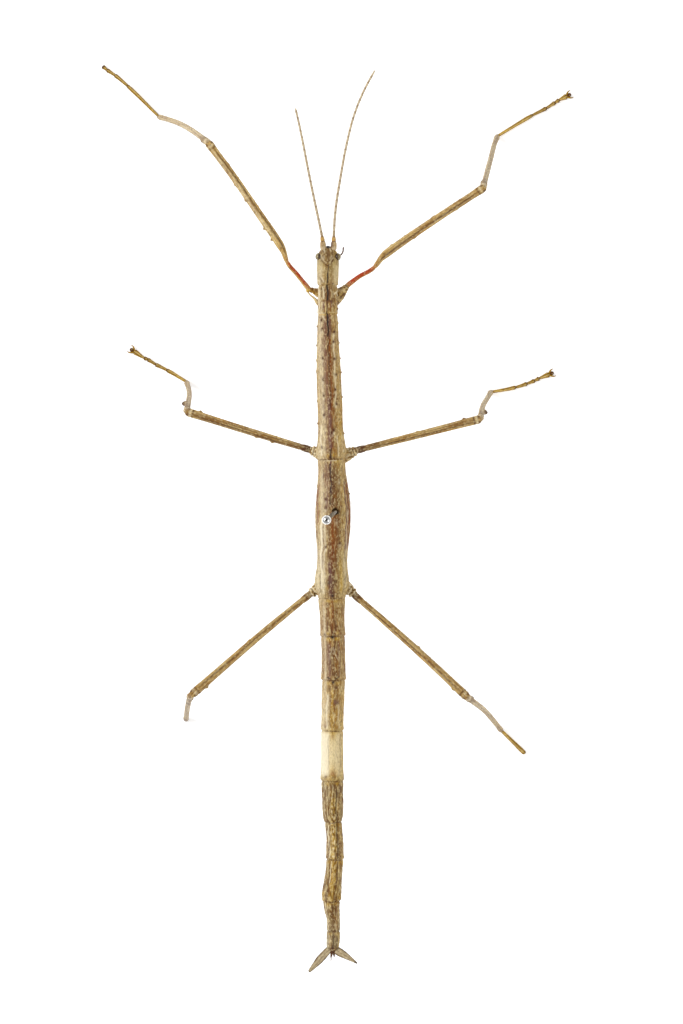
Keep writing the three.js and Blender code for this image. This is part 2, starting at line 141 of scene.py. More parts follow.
def lay_along(piece, points):
    """Bends a piece that was built along +X onto a smooth line through points, with its top up."""
    line = bpy.data.curves.new("line", "CURVE")
    line.dimensions, line.twist_mode, line.resolution_u = "3D", "Z_UP", 32
    spline = line.splines.new("BEZIER")
    spline.bezier_points.add(len(points) - 1)
    for knot, point in zip(spline.bezier_points, points):
        knot.co = Vector(point) * MM
        knot.handle_left_type = knot.handle_right_type = "AUTO"
    guide = bpy.data.objects.new("line", line)
    bpy.context.scene.collection.objects.link(guide)
    bpy.context.view_layer.update()
    clear_selection()
    piece.select_set(True)
    bpy.context.view_layer.objects.active = piece
    piece.scale.x = spline.calc_length() / MM / length_of(points)
    bpy.ops.object.transform_apply(location=False, rotation=False, scale=True)
    finish_modifier(piece, "CURVE", object=guide, deform_axis="POS_X")
    bpy.data.objects.remove(guide)
    bpy.data.curves.remove(line)


def places_on(piece):
    """Each point's place on the straight piece in mm, kept as the attribute that materials read."""
    flat = np.empty(len(piece.data.vertices) * 3, np.float32)
    piece.data.vertices.foreach_get("co", flat)
    flat /= MM
    kept = piece.data.attributes.new("place", "FLOAT_VECTOR", "POINT")
    kept.data.foreach_set("vector", flat)
    return flat.reshape(-1, 3).T


def start_shell(name, rings, sides, levels=2):
    """A smooth straight tube, its points' places and their turn: 0 on top, + to the left, 1 underneath."""
    piece = grow_tube(name, rings, sides)
    finish_modifier(piece, "SUBSURF", levels=levels, render_levels=levels)
    places = places_on(piece)
    return piece, places, np.arctan2(places[1], places[2]) / np.pi


def paint(piece, layer, amounts):
    """A painted layer, from 0 to 1: an amount for each point, or one for all."""
    kept = piece.data.attributes.new(layer, "FLOAT", "POINT")
    amounts = np.broadcast_to(np.clip(amounts, 0, 1), len(piece.data.vertices))
    kept.data.foreach_set("value", amounts.astype(np.float32))


def paint_shell(piece, **amounts):
    """The layers that a shell's finish reads. One that isn't named is nothing all over."""
    for layer in ("shade", "dark", "pale", "gold", "rust"):
        paint(piece, layer, amounts.get(layer, 0))


def push_out(piece, heights):
    """Moves each point out of the surface by its height in mm, or into it where that is below nothing."""
    for way, amounts in ((1, np.clip(heights, 0, None)), (-1, np.clip(-heights, 0, None))):
        most = float(amounts.max())
        if most <= 0:
            continue
        group = piece.vertex_groups.new(name="height")
        for index in np.flatnonzero(amounts).tolist():
            group.add([index], float(amounts[index]) / most, "REPLACE")
        finish_modifier(piece, "DISPLACE", vertex_group="height", strength=way * most * MM, mid_level=0)
        piece.vertex_groups.clear()


def join(pieces, name):
    """One piece out of several."""
    clear_selection()
    for piece in pieces:
        piece.select_set(True)
    bpy.context.view_layer.objects.active = pieces[0]
    bpy.ops.object.join()
    pieces[0].name = pieces[0].data.name = name
    return pieces[0]


def small_limb(name, rings, points, sides=10, levels=2, **amounts):
    """A little tube laid along its line and painted evenly."""
    piece = start_shell(name, rings, sides, levels)[0]
    paint_shell(piece, **amounts)
    lay_along(piece, points)
    return piece


def grain(places, sizes, seed):
    """Noise from -1 to 1 at each place, with lumps of the given sizes in mm."""
    scaled = (np.asarray(places) / np.reshape(sizes, (3, 1))).T + seed * 7.3
    return np.array([noise.noise(Vector(point)) for point in scaled])


def speckle(places, sizes, seed):
    """The same noise from 0 to 1."""
    return 0.5 + 0.5 * grain(places, sizes, seed)


def bump(distance, radius):
    return np.exp(-((distance / radius) ** 2))


def near_line(s, u, points, radius):
    """1 on a line drawn through points on the skin, falling to 0 at a few radii."""
    best = np.full(len(s), np.inf)
    for (s0, u0), (s1, u1) in zip(points, points[1:]):
        ds, du = s1 - s0, u1 - u0
        t = np.clip(((s - s0) * ds + (u - u0) * du) / (ds * ds + du * du), 0, 1)
        best = np.minimum(best, (s - s0 - t * ds) ** 2 + (u - u0 - t * du) ** 2)
    return bump(np.sqrt(best), radius)


def past(values, limit, edge):
    """1 above a limit and 0 below it, with a soft edge."""
    return 0.5 + 0.5 * np.tanh((values - limit) / edge / 2)


def within(values, low, high, edge):
    """1 between low and high, with soft edges."""
    return past(values, low, edge) - past(values, high, edge)


def strongest(*amounts):
    """The strongest of several amounts at each point."""
    return reduce(np.maximum, amounts)


# ---------------------------------------------------------------------------------------------------
# Materials

def colour(red, green, blue):
    """A colour given as 0 to 255 on a screen."""
    return tuple(
        (c / 255 / 12.92 if c <= 10 else ((c / 255 + 0.055) / 1.055) ** 2.4) for c in (red, green, blue)
    ) + (1,)


class Value:
    """A number that varies over a surface. Arithmetic on it adds Math nodes."""

    def __init__(self, look, socket):
        self.look, self.socket = look, socket

    def math(self, operation, *others):
        return self.look.node("ShaderNodeMath", {"operation": operation}, *(self, *others))

    def __add__(self, other):
        return self.math("ADD", other)

    def __sub__(self, other):
        return self.math("SUBTRACT", other)

    def __mul__(self, other):
        return self.math("MULTIPLY", other)

    def __truediv__(self, other):
        return self.math("DIVIDE", other)

    def __rsub__(self, other):
        return self.look.node("ShaderNodeMath", {"operation": "SUBTRACT"}, other, self)

    __radd__, __rmul__ = __add__, __mul__

    def size(self):
        return self.math("ABSOLUTE")

    def step(self, low, high):
        """0 below low and 1 above high, smooth between."""
        return self.look.node(
            "ShaderNodeMapRange", {"interpolation_type": "SMOOTHSTEP"}, self, low, high, 0, 1
        )


class Look:
    """A procedural material and the few ways of adding to it."""

    def __init__(self, name, roughness, **fixed):
        self.material = bpy.data.materials.new(name)
        self.material.use_nodes = True
        self.tree = self.material.node_tree
        self.shader = self.tree.nodes["Principled BSDF"]
        self.shader.inputs["Roughness"].default_value = roughness
        for socket, value in fixed.items():
            self.shader.inputs[socket.replace("_", " ")].default_value = value

    def node(self, kind, settings, *values, output=0):
        """Adds a node: its settings first, then its sockets in order. None leaves a socket as it is."""
        made = self.tree.nodes.new(kind)
        for name, setting in settings.items():
            if name == "stops":
                ramp = made.color_ramp
                while len(ramp.elements) < len(setting):
                    ramp.elements.new(0.5)
                for element, (place, tone) in zip(ramp.elements, setting):
                    element.position, element.color = place, tone
            else:
                setattr(made, name, setting)
        for socket, value in zip((s for s in made.inputs if s.enabled), values):
            if isinstance(value, Value):
                self.tree.links.new(value.socket, socket)
            elif value is not None:
                socket.default_value = value
        shown = [s for s in made.outputs if s.enabled]
        return Value(self, shown[output])

    def node_output(self, value, name):
        """Another output of the node that a value comes from."""
        return Value(self, value.socket.node.outputs[name])

    def layer(self, name):
        return self.node("ShaderNodeAttribute", {"attribute_name": name}, output=2)

    def place(self):
        return self.node("ShaderNodeAttribute", {"attribute_name": "place"}, output=1)

    def parts(self, vector):
        made = self.node("ShaderNodeSeparateXYZ", {}, vector)
        return [self.node_output(made, axis) for axis in "XYZ"]

    def stretched(self, vector, scale):
        return self.node("ShaderNodeVectorMath", {"operation": "MULTIPLY"}, vector, scale)

    def noise(self, vector, scale, detail=3.0, roughness=0.55):
        return self.node("ShaderNodeTexNoise", {}, vector, scale, detail, roughness)

    def mix(self, amount, below, above):
        return self.node("ShaderNodeMix", {"data_type": "RGBA"}, amount, below, above)

    def ramp(self, value, *stops):
        return self.node("ShaderNodeValToRGB", {"stops": stops}, value)

    def set(self, socket, value):
        self.tree.links.new(value.socket, self.shader.inputs[socket])

    def relief(self, height, depth):
        """Raises the surface by height times depth, in mm, through the Normal socket."""
        self.set("Normal", self.node("ShaderNodeBump", {}, 1.0, depth * MM, None, height))


# ---------------------------------------------------------------------------------------------------
# The trunk, one skin from the face to the last segment

*STARTS, TRUNK_LENGTH = accumulate((length for _, length, _ in TRUNK), initial=0.0)
BORDERS = {name: start for (name, _, _), start in zip(TRUNK, STARTS)}

# Stretches of the trunk, as the places where they start and end.
HEAD, PRONOTUM, THORAX, ABDOMEN = (0.3, 4.6), (4.9, 8.2), (8.4, 42.4), (42.6, 85)
CREAM_SEGMENT, WRINKLED_REAR, REAR_SEAM = (58.75, 64.0), (63.9, 83), (66.6, 81)

# Each segment has rings close to both its borders and even ones in the room between.
RINGS_AFTER_BORDER, RINGS_BEFORE_BORDER, BORDER_ROOM = (0.08, 0.2), (0.28, 0.14, 0.02), 0.3
RING_STEP = 0.62
TRUNK_SIDES = 26
FACE_RINGS = ((-0.14, 0.1), (-0.12, 0.3), (-0.05, 0.5))
TAIL_RINGS = ((0.12, 0.7), (0.2, 0.4), (0.22, 0.12))

# Dark olive tubercles on the back: (place, mm to the right of the midline), and points along the flanks:
# (place, side: 1 on the right). They sit at FLANK_TURN, and HALF_GIRTH is the way over the skin from the
# back to the underside.
TUBERCLES = (
    (9.0, -0.75), (10.05, -0.72), (11.6, 0.7), (13.55, -0.7), (13.7, 0.78), (15.6, 0.9), (16.15, -0.72),
    (18.05, -0.75), (20.4, -0.8), (17.4, 0.75), (19.1, 0.8), (22.3, 0.35), (22.6, 0.1), (28.3, 0.85),
    (30.6, -0.9), (31.6, -0.95), (33.1, 0.4), (36.4, -0.85), (35.9, 0.9), (24.3, -1.15), (10.4, 0.8),
)
FLANK_POINTS = (
    (9.7, -1), (12.0, -1), (13.8, -1), (15.1, -1), (21.4, -1), (18.7, -1), (9.3, 1), (11.7, 1), (13.6, 1),
    (15.3, 1), (18.3, 1), (22.7, 1), (26.0, 1), (30.0, 1), (29.0, -1), (6.9, 1), (7.6, 1), (7.0, -1),
)
FLANK_TURN, HALF_GIRTH = 0.48, 4.2

# Sizes of the wrinkles behind the cream segment, lumpy ones and thin long ones.
LUMPS, WIRES = (0.34, 0.2, 0.2), (1.1, 0.16, 0.16)
PIN_HOLE = {"place": 32.1, "across": 0.33, "radius": 0.36}


def trunk_rings():
    """Rings for the straight trunk: close together at its borders, about RING_STEP apart between."""
    stops = []
    places = set()
    for name, length, widths in TRUNK:
        start, end = BORDERS[name], BORDERS[name] + length
        stops += [(start + share * length, wide) for share, wide in widths if share < 1]
        stops.append((end - 0.04, widths[-1][1]))
        room = length - 2 * BORDER_ROOM
        count = round(room / RING_STEP)
        places |= {start + step for step in RINGS_AFTER_BORDER} | {end - step for step in RINGS_BEFORE_BORDER}
        places |= {start + BORDER_ROOM + room * i / count for i in range(count + 1)}
    places = np.array(sorted(places))
    wides = smooth_curve(stops, places)
    deeps = wides * np.interp(places, NECK, (HEAD_DEPTH_RATIO, BACK_HEIGHT_RATIO))
    front = [(places[0] + step, wide, wide * HEAD_DEPTH_RATIO) for step, wide in FACE_RINGS]
    back = [(places[-1] + step, wide, wide) for step, wide in TAIL_RINGS]
    return [*front, *zip(places, wides, deeps), *back]


def from_flank_point(s, turn, place):
    """Distance over the skin from a point on the flank."""
    return np.hypot(s - place, (turn - FLANK_TURN) * HALF_GIRTH)


def from_pin_hole(s, u):
    return np.hypot(s - PIN_HOLE["place"], u - PIN_HOLE["across"])


def trunk_relief(s, u, z, turn):
    """Height of the skin in mm. s is the place, u the distance right, turn 0 on the back and 1 below."""
    top = np.clip(1 - turn / 0.5, 0, 1)
    thorax = within(s, *THORAX, 0.5)
    belly = within(s, *ABDOMEN, 0.5)
    radius = np.hypot(u, z)

    # Flat slopes from a keel on the thorax, and a softer roof on the abdomen.
    slope = np.abs(np.sin(np.clip(turn * 2, 0, 1) * np.pi)) ** 1.2
    height = -slope * radius * (0.07 * thorax + 0.045 * belly)
    height += bump(u, 0.1) * top * (0.055 * thorax + 0.03 * belly)
    height += bump(turn - 0.47, 0.035) * (0.07 * thorax + 0.05 * belly)
    height -= bump(turn - 0.545, 0.03) * (0.06 * thorax + 0.05 * belly)
    height += bump(turn - 0.28, 0.05) * 0.025 * thorax
    height += bump(turn - 0.62, 0.05) * 0.03

    for name, start in list(BORDERS.items())[1:]:
        deep = 0.075 if name in ("prothorax", "mesothorax") else 0.06
        height -= deep * bump(s - start, 0.07)
        height += 0.035 * bump(s - start + 0.2, 0.12) * (0.4 + 0.6 * top)
        height += 0.02 * bump(s - start - 0.3, 0.1) * top

    # Head: a sunk line down the crown, two sunk lines that meet behind the antennae, raised cheeks.
    head = within(s, *HEAD, 0.1)
    on_top = turn < 0.5
    height -= 0.05 * near_line(s, u, [(2.3, 0.0), (4.75, 0.0)], 0.06) * on_top
    height -= 0.06 * near_line(s, u, HEART, 0.09) * on_top
    height += 0.07 * near_line(s, u, [(1.3, -0.45), (1.8, -0.38)], 0.2) * on_top
    height += 0.07 * near_line(s, u, [(1.3, 0.45), (1.8, 0.4)], 0.2) * on_top
    height += 0.06 * bump(turn - 0.36, 0.05) * within(s, 2.4, 4.3, 0.2)
    height -= 0.06 * bump(turn - 0.42, 0.03) * within(s, 2.0, 4.4, 0.2)
    for side in (-1, 1):
        height += 0.1 * near_line(s, u, [(0.55, side * 0.42), (0.75, side * 0.95)], 0.12) * on_top
        height += 0.04 * bump(np.hypot(s - 1.3, np.abs(u) - 1.15) - 0.45, 0.09) * (turn < 0.6) * head

    # Pronotum: a groove across, a deep midline, and folds on both sides.
    pronotum = within(s, *PRONOTUM, 0.08)
    height -= 0.06 * bump(s - 6.65, 0.1) * top * (np.abs(u) < 0.9)
    height -= 0.05 * bump(u, 0.07) * pronotum * on_top
    height += 0.055 * bump(np.abs(u) - 0.5, 0.13) * pronotum * on_top
    height += 0.05 * bump(np.abs(u) - 0.95, 0.12) * pronotum * on_top
    height += 0.1 * bump(s - 8.05, 0.16) * top

    # Cushions before the coxae, a split keel at the rear of the mesothorax.
    height += 0.07 * bump(s - 24.9, 0.5) * bump(np.abs(u) - 0.6, 0.25) * on_top
    height -= 0.07 * near_line(s, u, [(24.4, 0.0), (25.7, 0.0)], 0.1) * on_top
    height += 0.06 * bump(s - 41.4, 0.7) * bump(np.abs(u) - 0.7, 0.3) * on_top

    for place, across in TUBERCLES:
        height += 0.11 * bump(np.hypot(s - place, u - across), 0.13) * on_top
    for place, side in FLANK_POINTS:
        height += 0.14 * bump(from_flank_point(s, turn, place), 0.11) * (np.sign(u) == side)

    # Wrinkles of the dried abdomen, a raised seam down the middle of the rear segments.
    rear = within(s, *REAR_SEAM, 0.5)
    seam = 0.12 * np.sin(s * 5.1) + 0.05 * np.sin(s * 11.3 + 1)
    height += 0.08 * bump(u + 0.1 - seam, 0.2) * rear * on_top
    height -= 0.06 * bump(u - 0.45 - seam * 0.5, 0.14) * rear * on_top
    height -= 0.05 * bump(u + 0.6, 0.12) * rear * on_top

    hole = from_pin_hole(s, u)
    height += 0.05 * bump(hole - 0.5, 0.12) * on_top
    height -= 0.6 * past(PIN_HOLE["radius"], hole, 0.03) * on_top
    return height


def make_trunk():
    piece, places, turn = start_shell("trunk", trunk_rings(), TRUNK_SIDES)
    s, u, z = places
    turn = np.abs(turn)
    rear = within(s, *WRINKLED_REAR, 0.5)
    wrinkles = (0.032 + 0.02 * rear) * grain(places, (1.2, 0.26, 0.26), 1)
    wrinkles += 0.02 * grain(places, (0.4, 0.18, 0.18), 2)
    wrinkles += 0.04 * rear * grain(places, LUMPS, 5) + 0.04 * rear * grain(places, WIRES, 6)
    push_out(piece, trunk_relief(s, u, z, turn) + wrinkles)
    paint_trunk(piece, s, u, turn, places)
    lay_along(piece, TRUNK_LINE)
    return piece


# Lines drawn on the back: (layer, strength, half width, then points as place and mm to the right).
HEART = ((1.5, -0.86), (1.95, -0.63), (2.36, -0.22), (2.42, 0.0), (2.22, 0.33), (1.68, 0.73))
STRIPES = (
    ("rust", 0.6, 0.55, (33.0, 0.25), (34.5, 0.2), (37.4, 0.1)),
    ("dark", 0.4, 0.5, (37.0, 0.0), (42.0, 0.0)),
    ("dark", 0.95, 0.07, *HEART),
    ("pale", 0.4, 0.07, (1.5, -0.72), (1.8, -0.5), (2.1, -0.2)),
    ("pale", 0.4, 0.07, (2.05, 0.2), (1.8, 0.42), (1.5, 0.6)),
    ("pale", 0.5, 0.13, (1.35, -0.5), (1.65, -0.45)),
    ("pale", 0.5, 0.13, (1.6, 0.38), (1.35, 0.46)),
    ("pale", 0.4, 0.3, (2.6, 0.95), (4.6, 0.95)),
    ("pale", 0.3, 0.25, (2.8, -0.85), (4.4, -0.85)),
    ("dark", 0.75, 0.07, (1.2, -0.6), (1.75, -0.33), (1.98, -0.02), (1.8, 0.28), (1.3, 0.55)),
    ("dark", 0.9, 0.1, (0.5, -0.95), (0.8, -0.72)),
    ("pale", 0.7, 0.08, (0.85, -1.05), (1.35, -0.85)),
    ("gold", 0.95, 0.1, (0.45, 0.92), (0.95, 1.05), (1.3, 1.0)),
    ("pale", 0.75, 0.07, (0.35, -0.4), (0.75, -0.32)),
    ("pale", 0.75, 0.07, (0.3, 0.3), (0.65, 0.36)),
    ("dark", 0.4, 0.2, (0.6, 0.0), (1.6, 0.0)),
    ("dark", 0.7, 0.06, (0.6, -0.55), (1.1, -0.4)),
    ("dark", 0.7, 0.06, (0.6, 0.6), (1.1, 0.5)),
    ("black", 0.85, 0.055, (2.45, 0.0), (3.3, 0.0)),
    ("black", 1.1, 0.085, (3.35, 0.0), (4.5, -0.02)),
    ("black", 1.2, 0.11, (4.85, -0.02), (6.55, -0.05)),
    ("dark", 0.85, 0.07, (3.95, -0.92), (4.5, -0.63)),
    ("pale", 0.85, 0.07, (3.9, -0.72), (4.4, -0.46)),
    ("pale", 0.8, 0.07, (4.15, -1.08), (4.68, -0.84)),
    ("gold", 0.8, 0.1, (4.4, 0.85), (4.65, 1.12)),
    ("pale", 0.75, 0.09, (4.95, -1.04), (8.0, -1.05)),
    ("dark", 0.8, 0.06, (4.95, -0.72), (6.3, -0.76)),
    ("pale", 0.8, 0.07, (5.0, -0.53), (6.4, -0.5)),
    ("dark", 0.7, 0.06, (5.1, -0.36), (6.5, -0.34)),
    ("rust", 0.55, 0.07, (5.0, -0.24), (6.5, -0.24)),
    ("dark", 0.7, 0.08, (5.0, 0.14), (6.6, 0.14)),
    ("pale", 0.95, 0.07, (5.4, 1.2), (5.65, 0.94), (5.9, 0.65)),
    ("pale", 0.95, 0.07, (5.65, 0.94), (6.0, 1.15)),
    ("dark", 0.7, 0.06, (5.0, 0.5), (5.9, 0.48)),
    ("dark", 0.7, 0.06, (5.9, 1.0), (6.6, 1.02)),
    ("dark", 0.8, 0.05, (6.62, -0.9), (6.7, -0.2)),
    ("dark", 0.8, 0.05, (6.62, 0.9), (6.7, 0.15)),
    ("black", 0.7, 0.05, (6.7, -0.07), (8.2, -0.06)),
    ("plum", 0.95, 0.09, (6.8, -0.5), (7.7, -0.5)),
    ("plum", 0.95, 0.09, (6.7, 0.4), (7.4, 0.4)),
    ("pale", 0.6, 0.06, (6.8, -0.72), (8.0, -0.72)),
    ("pale", 0.8, 0.1, (8.15, -1.15), (8.2, -0.3)),
    ("gold", 0.9, 0.13, (8.25, -1.2), (8.3, -0.25)),
    ("gold", 0.7, 0.13, (8.15, 0.25), (8.2, 1.2)),
    ("pale", 0.3, 0.08, (8.1, 0.3), (8.1, 1.0)),
    ("black", 1.1, 0.12, (8.3, 0.0), (10.9, 0.0)),
    ("plum", 0.85, 0.12, (8.4, 0.26), (11.2, 0.26)),
    ("dark", 0.75, 0.06, (8.65, -0.85), (9.1, -0.55)),
    ("pale", 0.8, 0.07, (8.5, -0.6), (9.0, -0.35)),
    ("black", 0.75, 0.055, (10.9, 0.02), (13.3, 0.05)),
    ("dark", 1.1, 0.07, (13.2, 0.05), (19.5, 0.1)),
    ("rust", 0.9, 0.13, (11.2, 0.24), (16.0, 0.3), (20.0, 0.28)),
    ("pale", 0.75, 0.09, (10.6, 0.72), (16.0, 0.78), (19.6, 0.72)),
    ("plum", 0.6, 0.22, (9.2, -0.35), (18.0, -0.32)),
    ("plum", 0.9, 0.24, (18.5, -0.1), (24.3, -0.1)),
    ("rust", 0.7, 0.12, (19.5, 0.25), (24.3, 0.15)),
    ("gold", 0.9, 0.1, (20.4, 1.2), (23.6, 1.28)),
    ("pale", 0.9, 0.1, (21.7, -1.2), (25.3, -1.3)),
    ("pale", 0.7, 0.08, (23.0, 0.85), (25.4, 0.9)),
    ("black", 1.0, 0.08, (24.6, -0.1), (25.7, -0.14)),
    ("dark", 0.8, 0.06, (25.82, -1.5), (25.82, 1.4)),
    ("pale", 0.8, 0.05, (25.98, -0.9), (25.98, 0.6)),
    ("plum", 0.95, 0.13, (26.1, -0.1), (27.4, -0.1)),
    ("black", 1.1, 0.07, (26.4, -0.15), (27.0, -0.2), (31.3, -0.27)),
    ("plum", 0.6, 0.28, (26.2, -0.65), (31.5, -0.7)),
    ("dark", 0.6, 0.2, (27.2, 0.02), (31.3, 0.0)),
    ("plum", 1.2, 0.07, (28.6, 1.4), (31.0, 1.68), (33.5, 1.72), (36.5, 1.5)),
    ("rust", 1.2, 0.08, (28.8, 1.66), (31.0, 1.93), (33.5, 1.98), (36.5, 1.74)),
    ("rust", 1.0, 0.07, (28.8, -1.72), (31.5, -1.95), (33.5, -1.93)),
    ("plum", 0.7, 0.06, (36.0, 1.6), (37.7, 1.55)),
    ("pale", 0.7, 0.06, (32.0, 1.82), (37.0, 1.68)),
    ("rust", 1.0, 0.16, (33.0, -0.05), (38.4, 0.03)),
    ("rust", 0.6, 0.28, (33.3, 0.1), (37.6, 0.1)),
    ("dark", 0.35, 0.3, (27.5, 0.75), (38.0, 0.7)),
    ("dark", 0.7, 0.07, (33.5, -0.5), (38.2, -0.45)),
    ("pale", 1.0, 0.14, (33.0, -1.45), (37.0, -1.42), (41.4, -1.3)),
    ("pale", 0.75, 0.07, (33.5, -1.0), (38.0, -1.0)),
    ("plum", 0.55, 0.09, (32.8, -1.22), (39.0, -1.2)),
    ("plum", 0.9, 0.28, (38.4, -0.3), (42.1, -0.1)),
    ("pale", 0.6, 0.18, (38.2, -1.1), (41.9, -1.0)),
    ("gold", 0.7, 0.16, (38.0, 1.15), (41.8, 1.2)),
    ("pale", 0.6, 0.08, (37.8, 1.5), (41.2, 1.75)),
    ("dark", 0.7, 0.05, (39.6, -1.55), (41.9, -1.3)),
    ("dark", 0.7, 0.05, (39.6, 1.75), (41.9, 1.5)),
    ("rust", 0.6, 0.16, (42.9, 0.0), (46.4, 0.0)),
    ("dark", 0.9, 0.07, (45.3, -0.6), (46.5, -0.6)),
    ("dark", 0.9, 0.07, (45.3, 0.42), (46.5, 0.42)),
    ("dark", 0.8, 0.1, (46.1, -0.1), (47.1, -0.05)),
    ("pale", 0.7, 0.05, (48.5, 0.0), (50.1, -0.6)),
    ("pale", 0.7, 0.05, (48.5, 0.0), (50.1, 0.6)),
    ("dark", 0.55, 0.22, (48.6, -0.1), (51.7, -0.1)),
    ("plum", 0.7, 0.25, (48.2, -0.5), (52.2, -0.5)),
    ("plum", 0.5, 0.1, (47.8, 0.7), (52.0, 0.75)),
    ("black", 0.85, 0.08, (52.1, -0.68), (52.3, -0.35)),
    ("black", 0.85, 0.08, (52.1, 0.62), (52.3, 0.3)),
    ("gold", 0.6, 0.11, (53.7, -0.15), (57.4, -0.05)),
    ("pale", 0.85, 0.16, (54.3, -0.72), (58.2, -0.72)),
    ("dark", 0.6, 0.05, (54.0, -0.36), (58.3, -0.32)),
    ("pale", 0.5, 0.08, (55.4, 0.75), (58.2, 0.8)),
    ("dark", 0.4, 0.04, (59.2, -0.5), (63.2, -0.46)),
    ("dark", 0.45, 0.05, (59.0, 1.0), (64.0, 1.02)),
    ("pale", 0.5, 0.07, (64.9, -0.42), (67.0, -0.4)),
    ("pale", 0.7, 0.06, (65.1, -0.02), (66.6, 0.0)),
    ("dark", 0.8, 0.07, (64.9, -0.22), (69.4, -0.3)),
    ("black", 0.6, 0.07, (65.8, 0.5), (69.6, 0.42)),
    ("pale", 0.85, 0.07, (70.0, -0.72), (73.9, -0.7)),
    ("black", 0.6, 0.07, (69.9, 0.42), (74.0, 0.34)),
    ("dark", 0.8, 0.06, (69.9, -0.88), (74.0, -0.86)),
    ("dark", 0.9, 0.08, (74.4, 0.42), (79.0, 0.38)),
    ("dark", 0.8, 0.07, (74.4, -0.52), (79.0, -0.62)),
    ("pale", 0.8, 0.07, (74.4, -0.38), (77.0, -0.42)),
    ("gold", 0.9, 0.14, (78.3, -0.95), (79.0, -1.05)),
    ("gold", 0.9, 0.14, (78.3, 0.95), (79.0, 1.1)),
    ("pale", 0.6, 0.06, (79.5, -0.85), (82.4, -0.65)),
    ("dark", 0.8, 0.06, (79.6, 0.0), (82.6, -0.02)),
    ("dark", 0.6, 0.05, (79.6, -0.4), (82.3, -0.3)),
    ("rust", 0.7, 0.07, (79.8, 0.6), (82.6, 0.5)),
    ("dark", 0.85, 0.05, (83.1, -0.62), (82.75, -0.3), (82.7, 0.1), (83.0, 0.45)),
    ("black", 0.7, 0.06, (83.3, -0.05), (84.9, -0.02)),
    ("dark", 0.7, 0.05, (83.2, 0.2), (84.8, 0.2)),
    ("gold", 0.7, 0.07, (83.0, 0.6), (84.8, 0.62)),
)

# Spots: (layer, strength, size, place, mm to the right).
SPOTS = (
    ("black", 2.2, 0.19, 0.08, 0.03), ("dark", 0.9, 0.1, 4.6, 0.6), ("black", 0.9, 0.08, 5.25, -0.71),
    ("dark", 0.9, 0.12, 7.05, 1.15), ("dark", 0.9, 0.12, 7.7, 1.15), ("black", 1.0, 0.14, 25.6, -0.14),
    ("gold", 0.9, 0.22, 25.3, -0.5), ("gold", 0.9, 0.22, 25.3, 0.3), ("pale", 0.8, 0.2, 24.8, -1.45),
    ("pale", 0.7, 0.18, 24.8, 1.55), ("dark", 0.9, 0.13, 38.5, 0.0), ("black", 0.7, 0.15, 40.7, -0.38),
    ("black", 0.7, 0.15, 40.5, 0.5), ("black", 0.9, 0.16, 42.25, 0.08), ("gold", 0.7, 0.2, 41.4, -0.45),
    ("dark", 0.8, 0.2, 43.4, -0.5), ("gold", 0.8, 0.16, 46.8, -0.62), ("gold", 0.8, 0.16, 46.8, 0.55),
    ("black", 1.2, 0.18, 47.25, -0.05), ("gold", 1.1, 0.2, 47.45, -0.55), ("gold", 1.1, 0.2, 47.45, 0.42),
    ("dark", 0.95, 0.25, 50.7, -0.1), ("dark", 0.9, 0.16, 46.9, -0.95), ("black", 1.1, 0.18, 52.7, -0.05),
    ("dark", 0.9, 0.25, 53.3, 0.35), ("dark", 0.8, 0.2, 53.5, -0.5), ("plum", 1.0, 0.32, 55.1, 0.4),
    ("dark", 0.8, 0.16, 55.2, 0.5), ("rust", 0.9, 0.2, 57.9, -1.0), ("dark", 0.6, 0.14, 58.1, -0.9),
    ("rust", 0.9, 0.36, 63.7, 0.1), ("dark", 0.7, 0.18, 64.2, 0.1), ("rust", 0.8, 0.2, 63.6, -0.95),
    ("dark", 0.7, 0.16, 64.1, -0.8), ("gold", 0.8, 0.35, 59.4, -0.1), ("rust", 0.6, 0.18, 59.3, 0.0),
    ("gold", 0.8, 0.3, 63.4, 0.55), ("dark", 0.8, 0.15, 69.5, -0.75), ("dark", 0.8, 0.18, 74.1, 0.1),
    ("gold", 0.9, 0.15, 70.1, -0.3), ("dark", 0.8, 0.2, 84.9, 0.0), ("rust", 0.5, 0.3, 28.6, -0.8),
    ("rust", 0.8, 0.14, 31.6, -1.05), ("dark", 0.7, 0.12, 31.6, -0.95), ("rust", 0.6, 0.2, 33.8, -0.75),
)


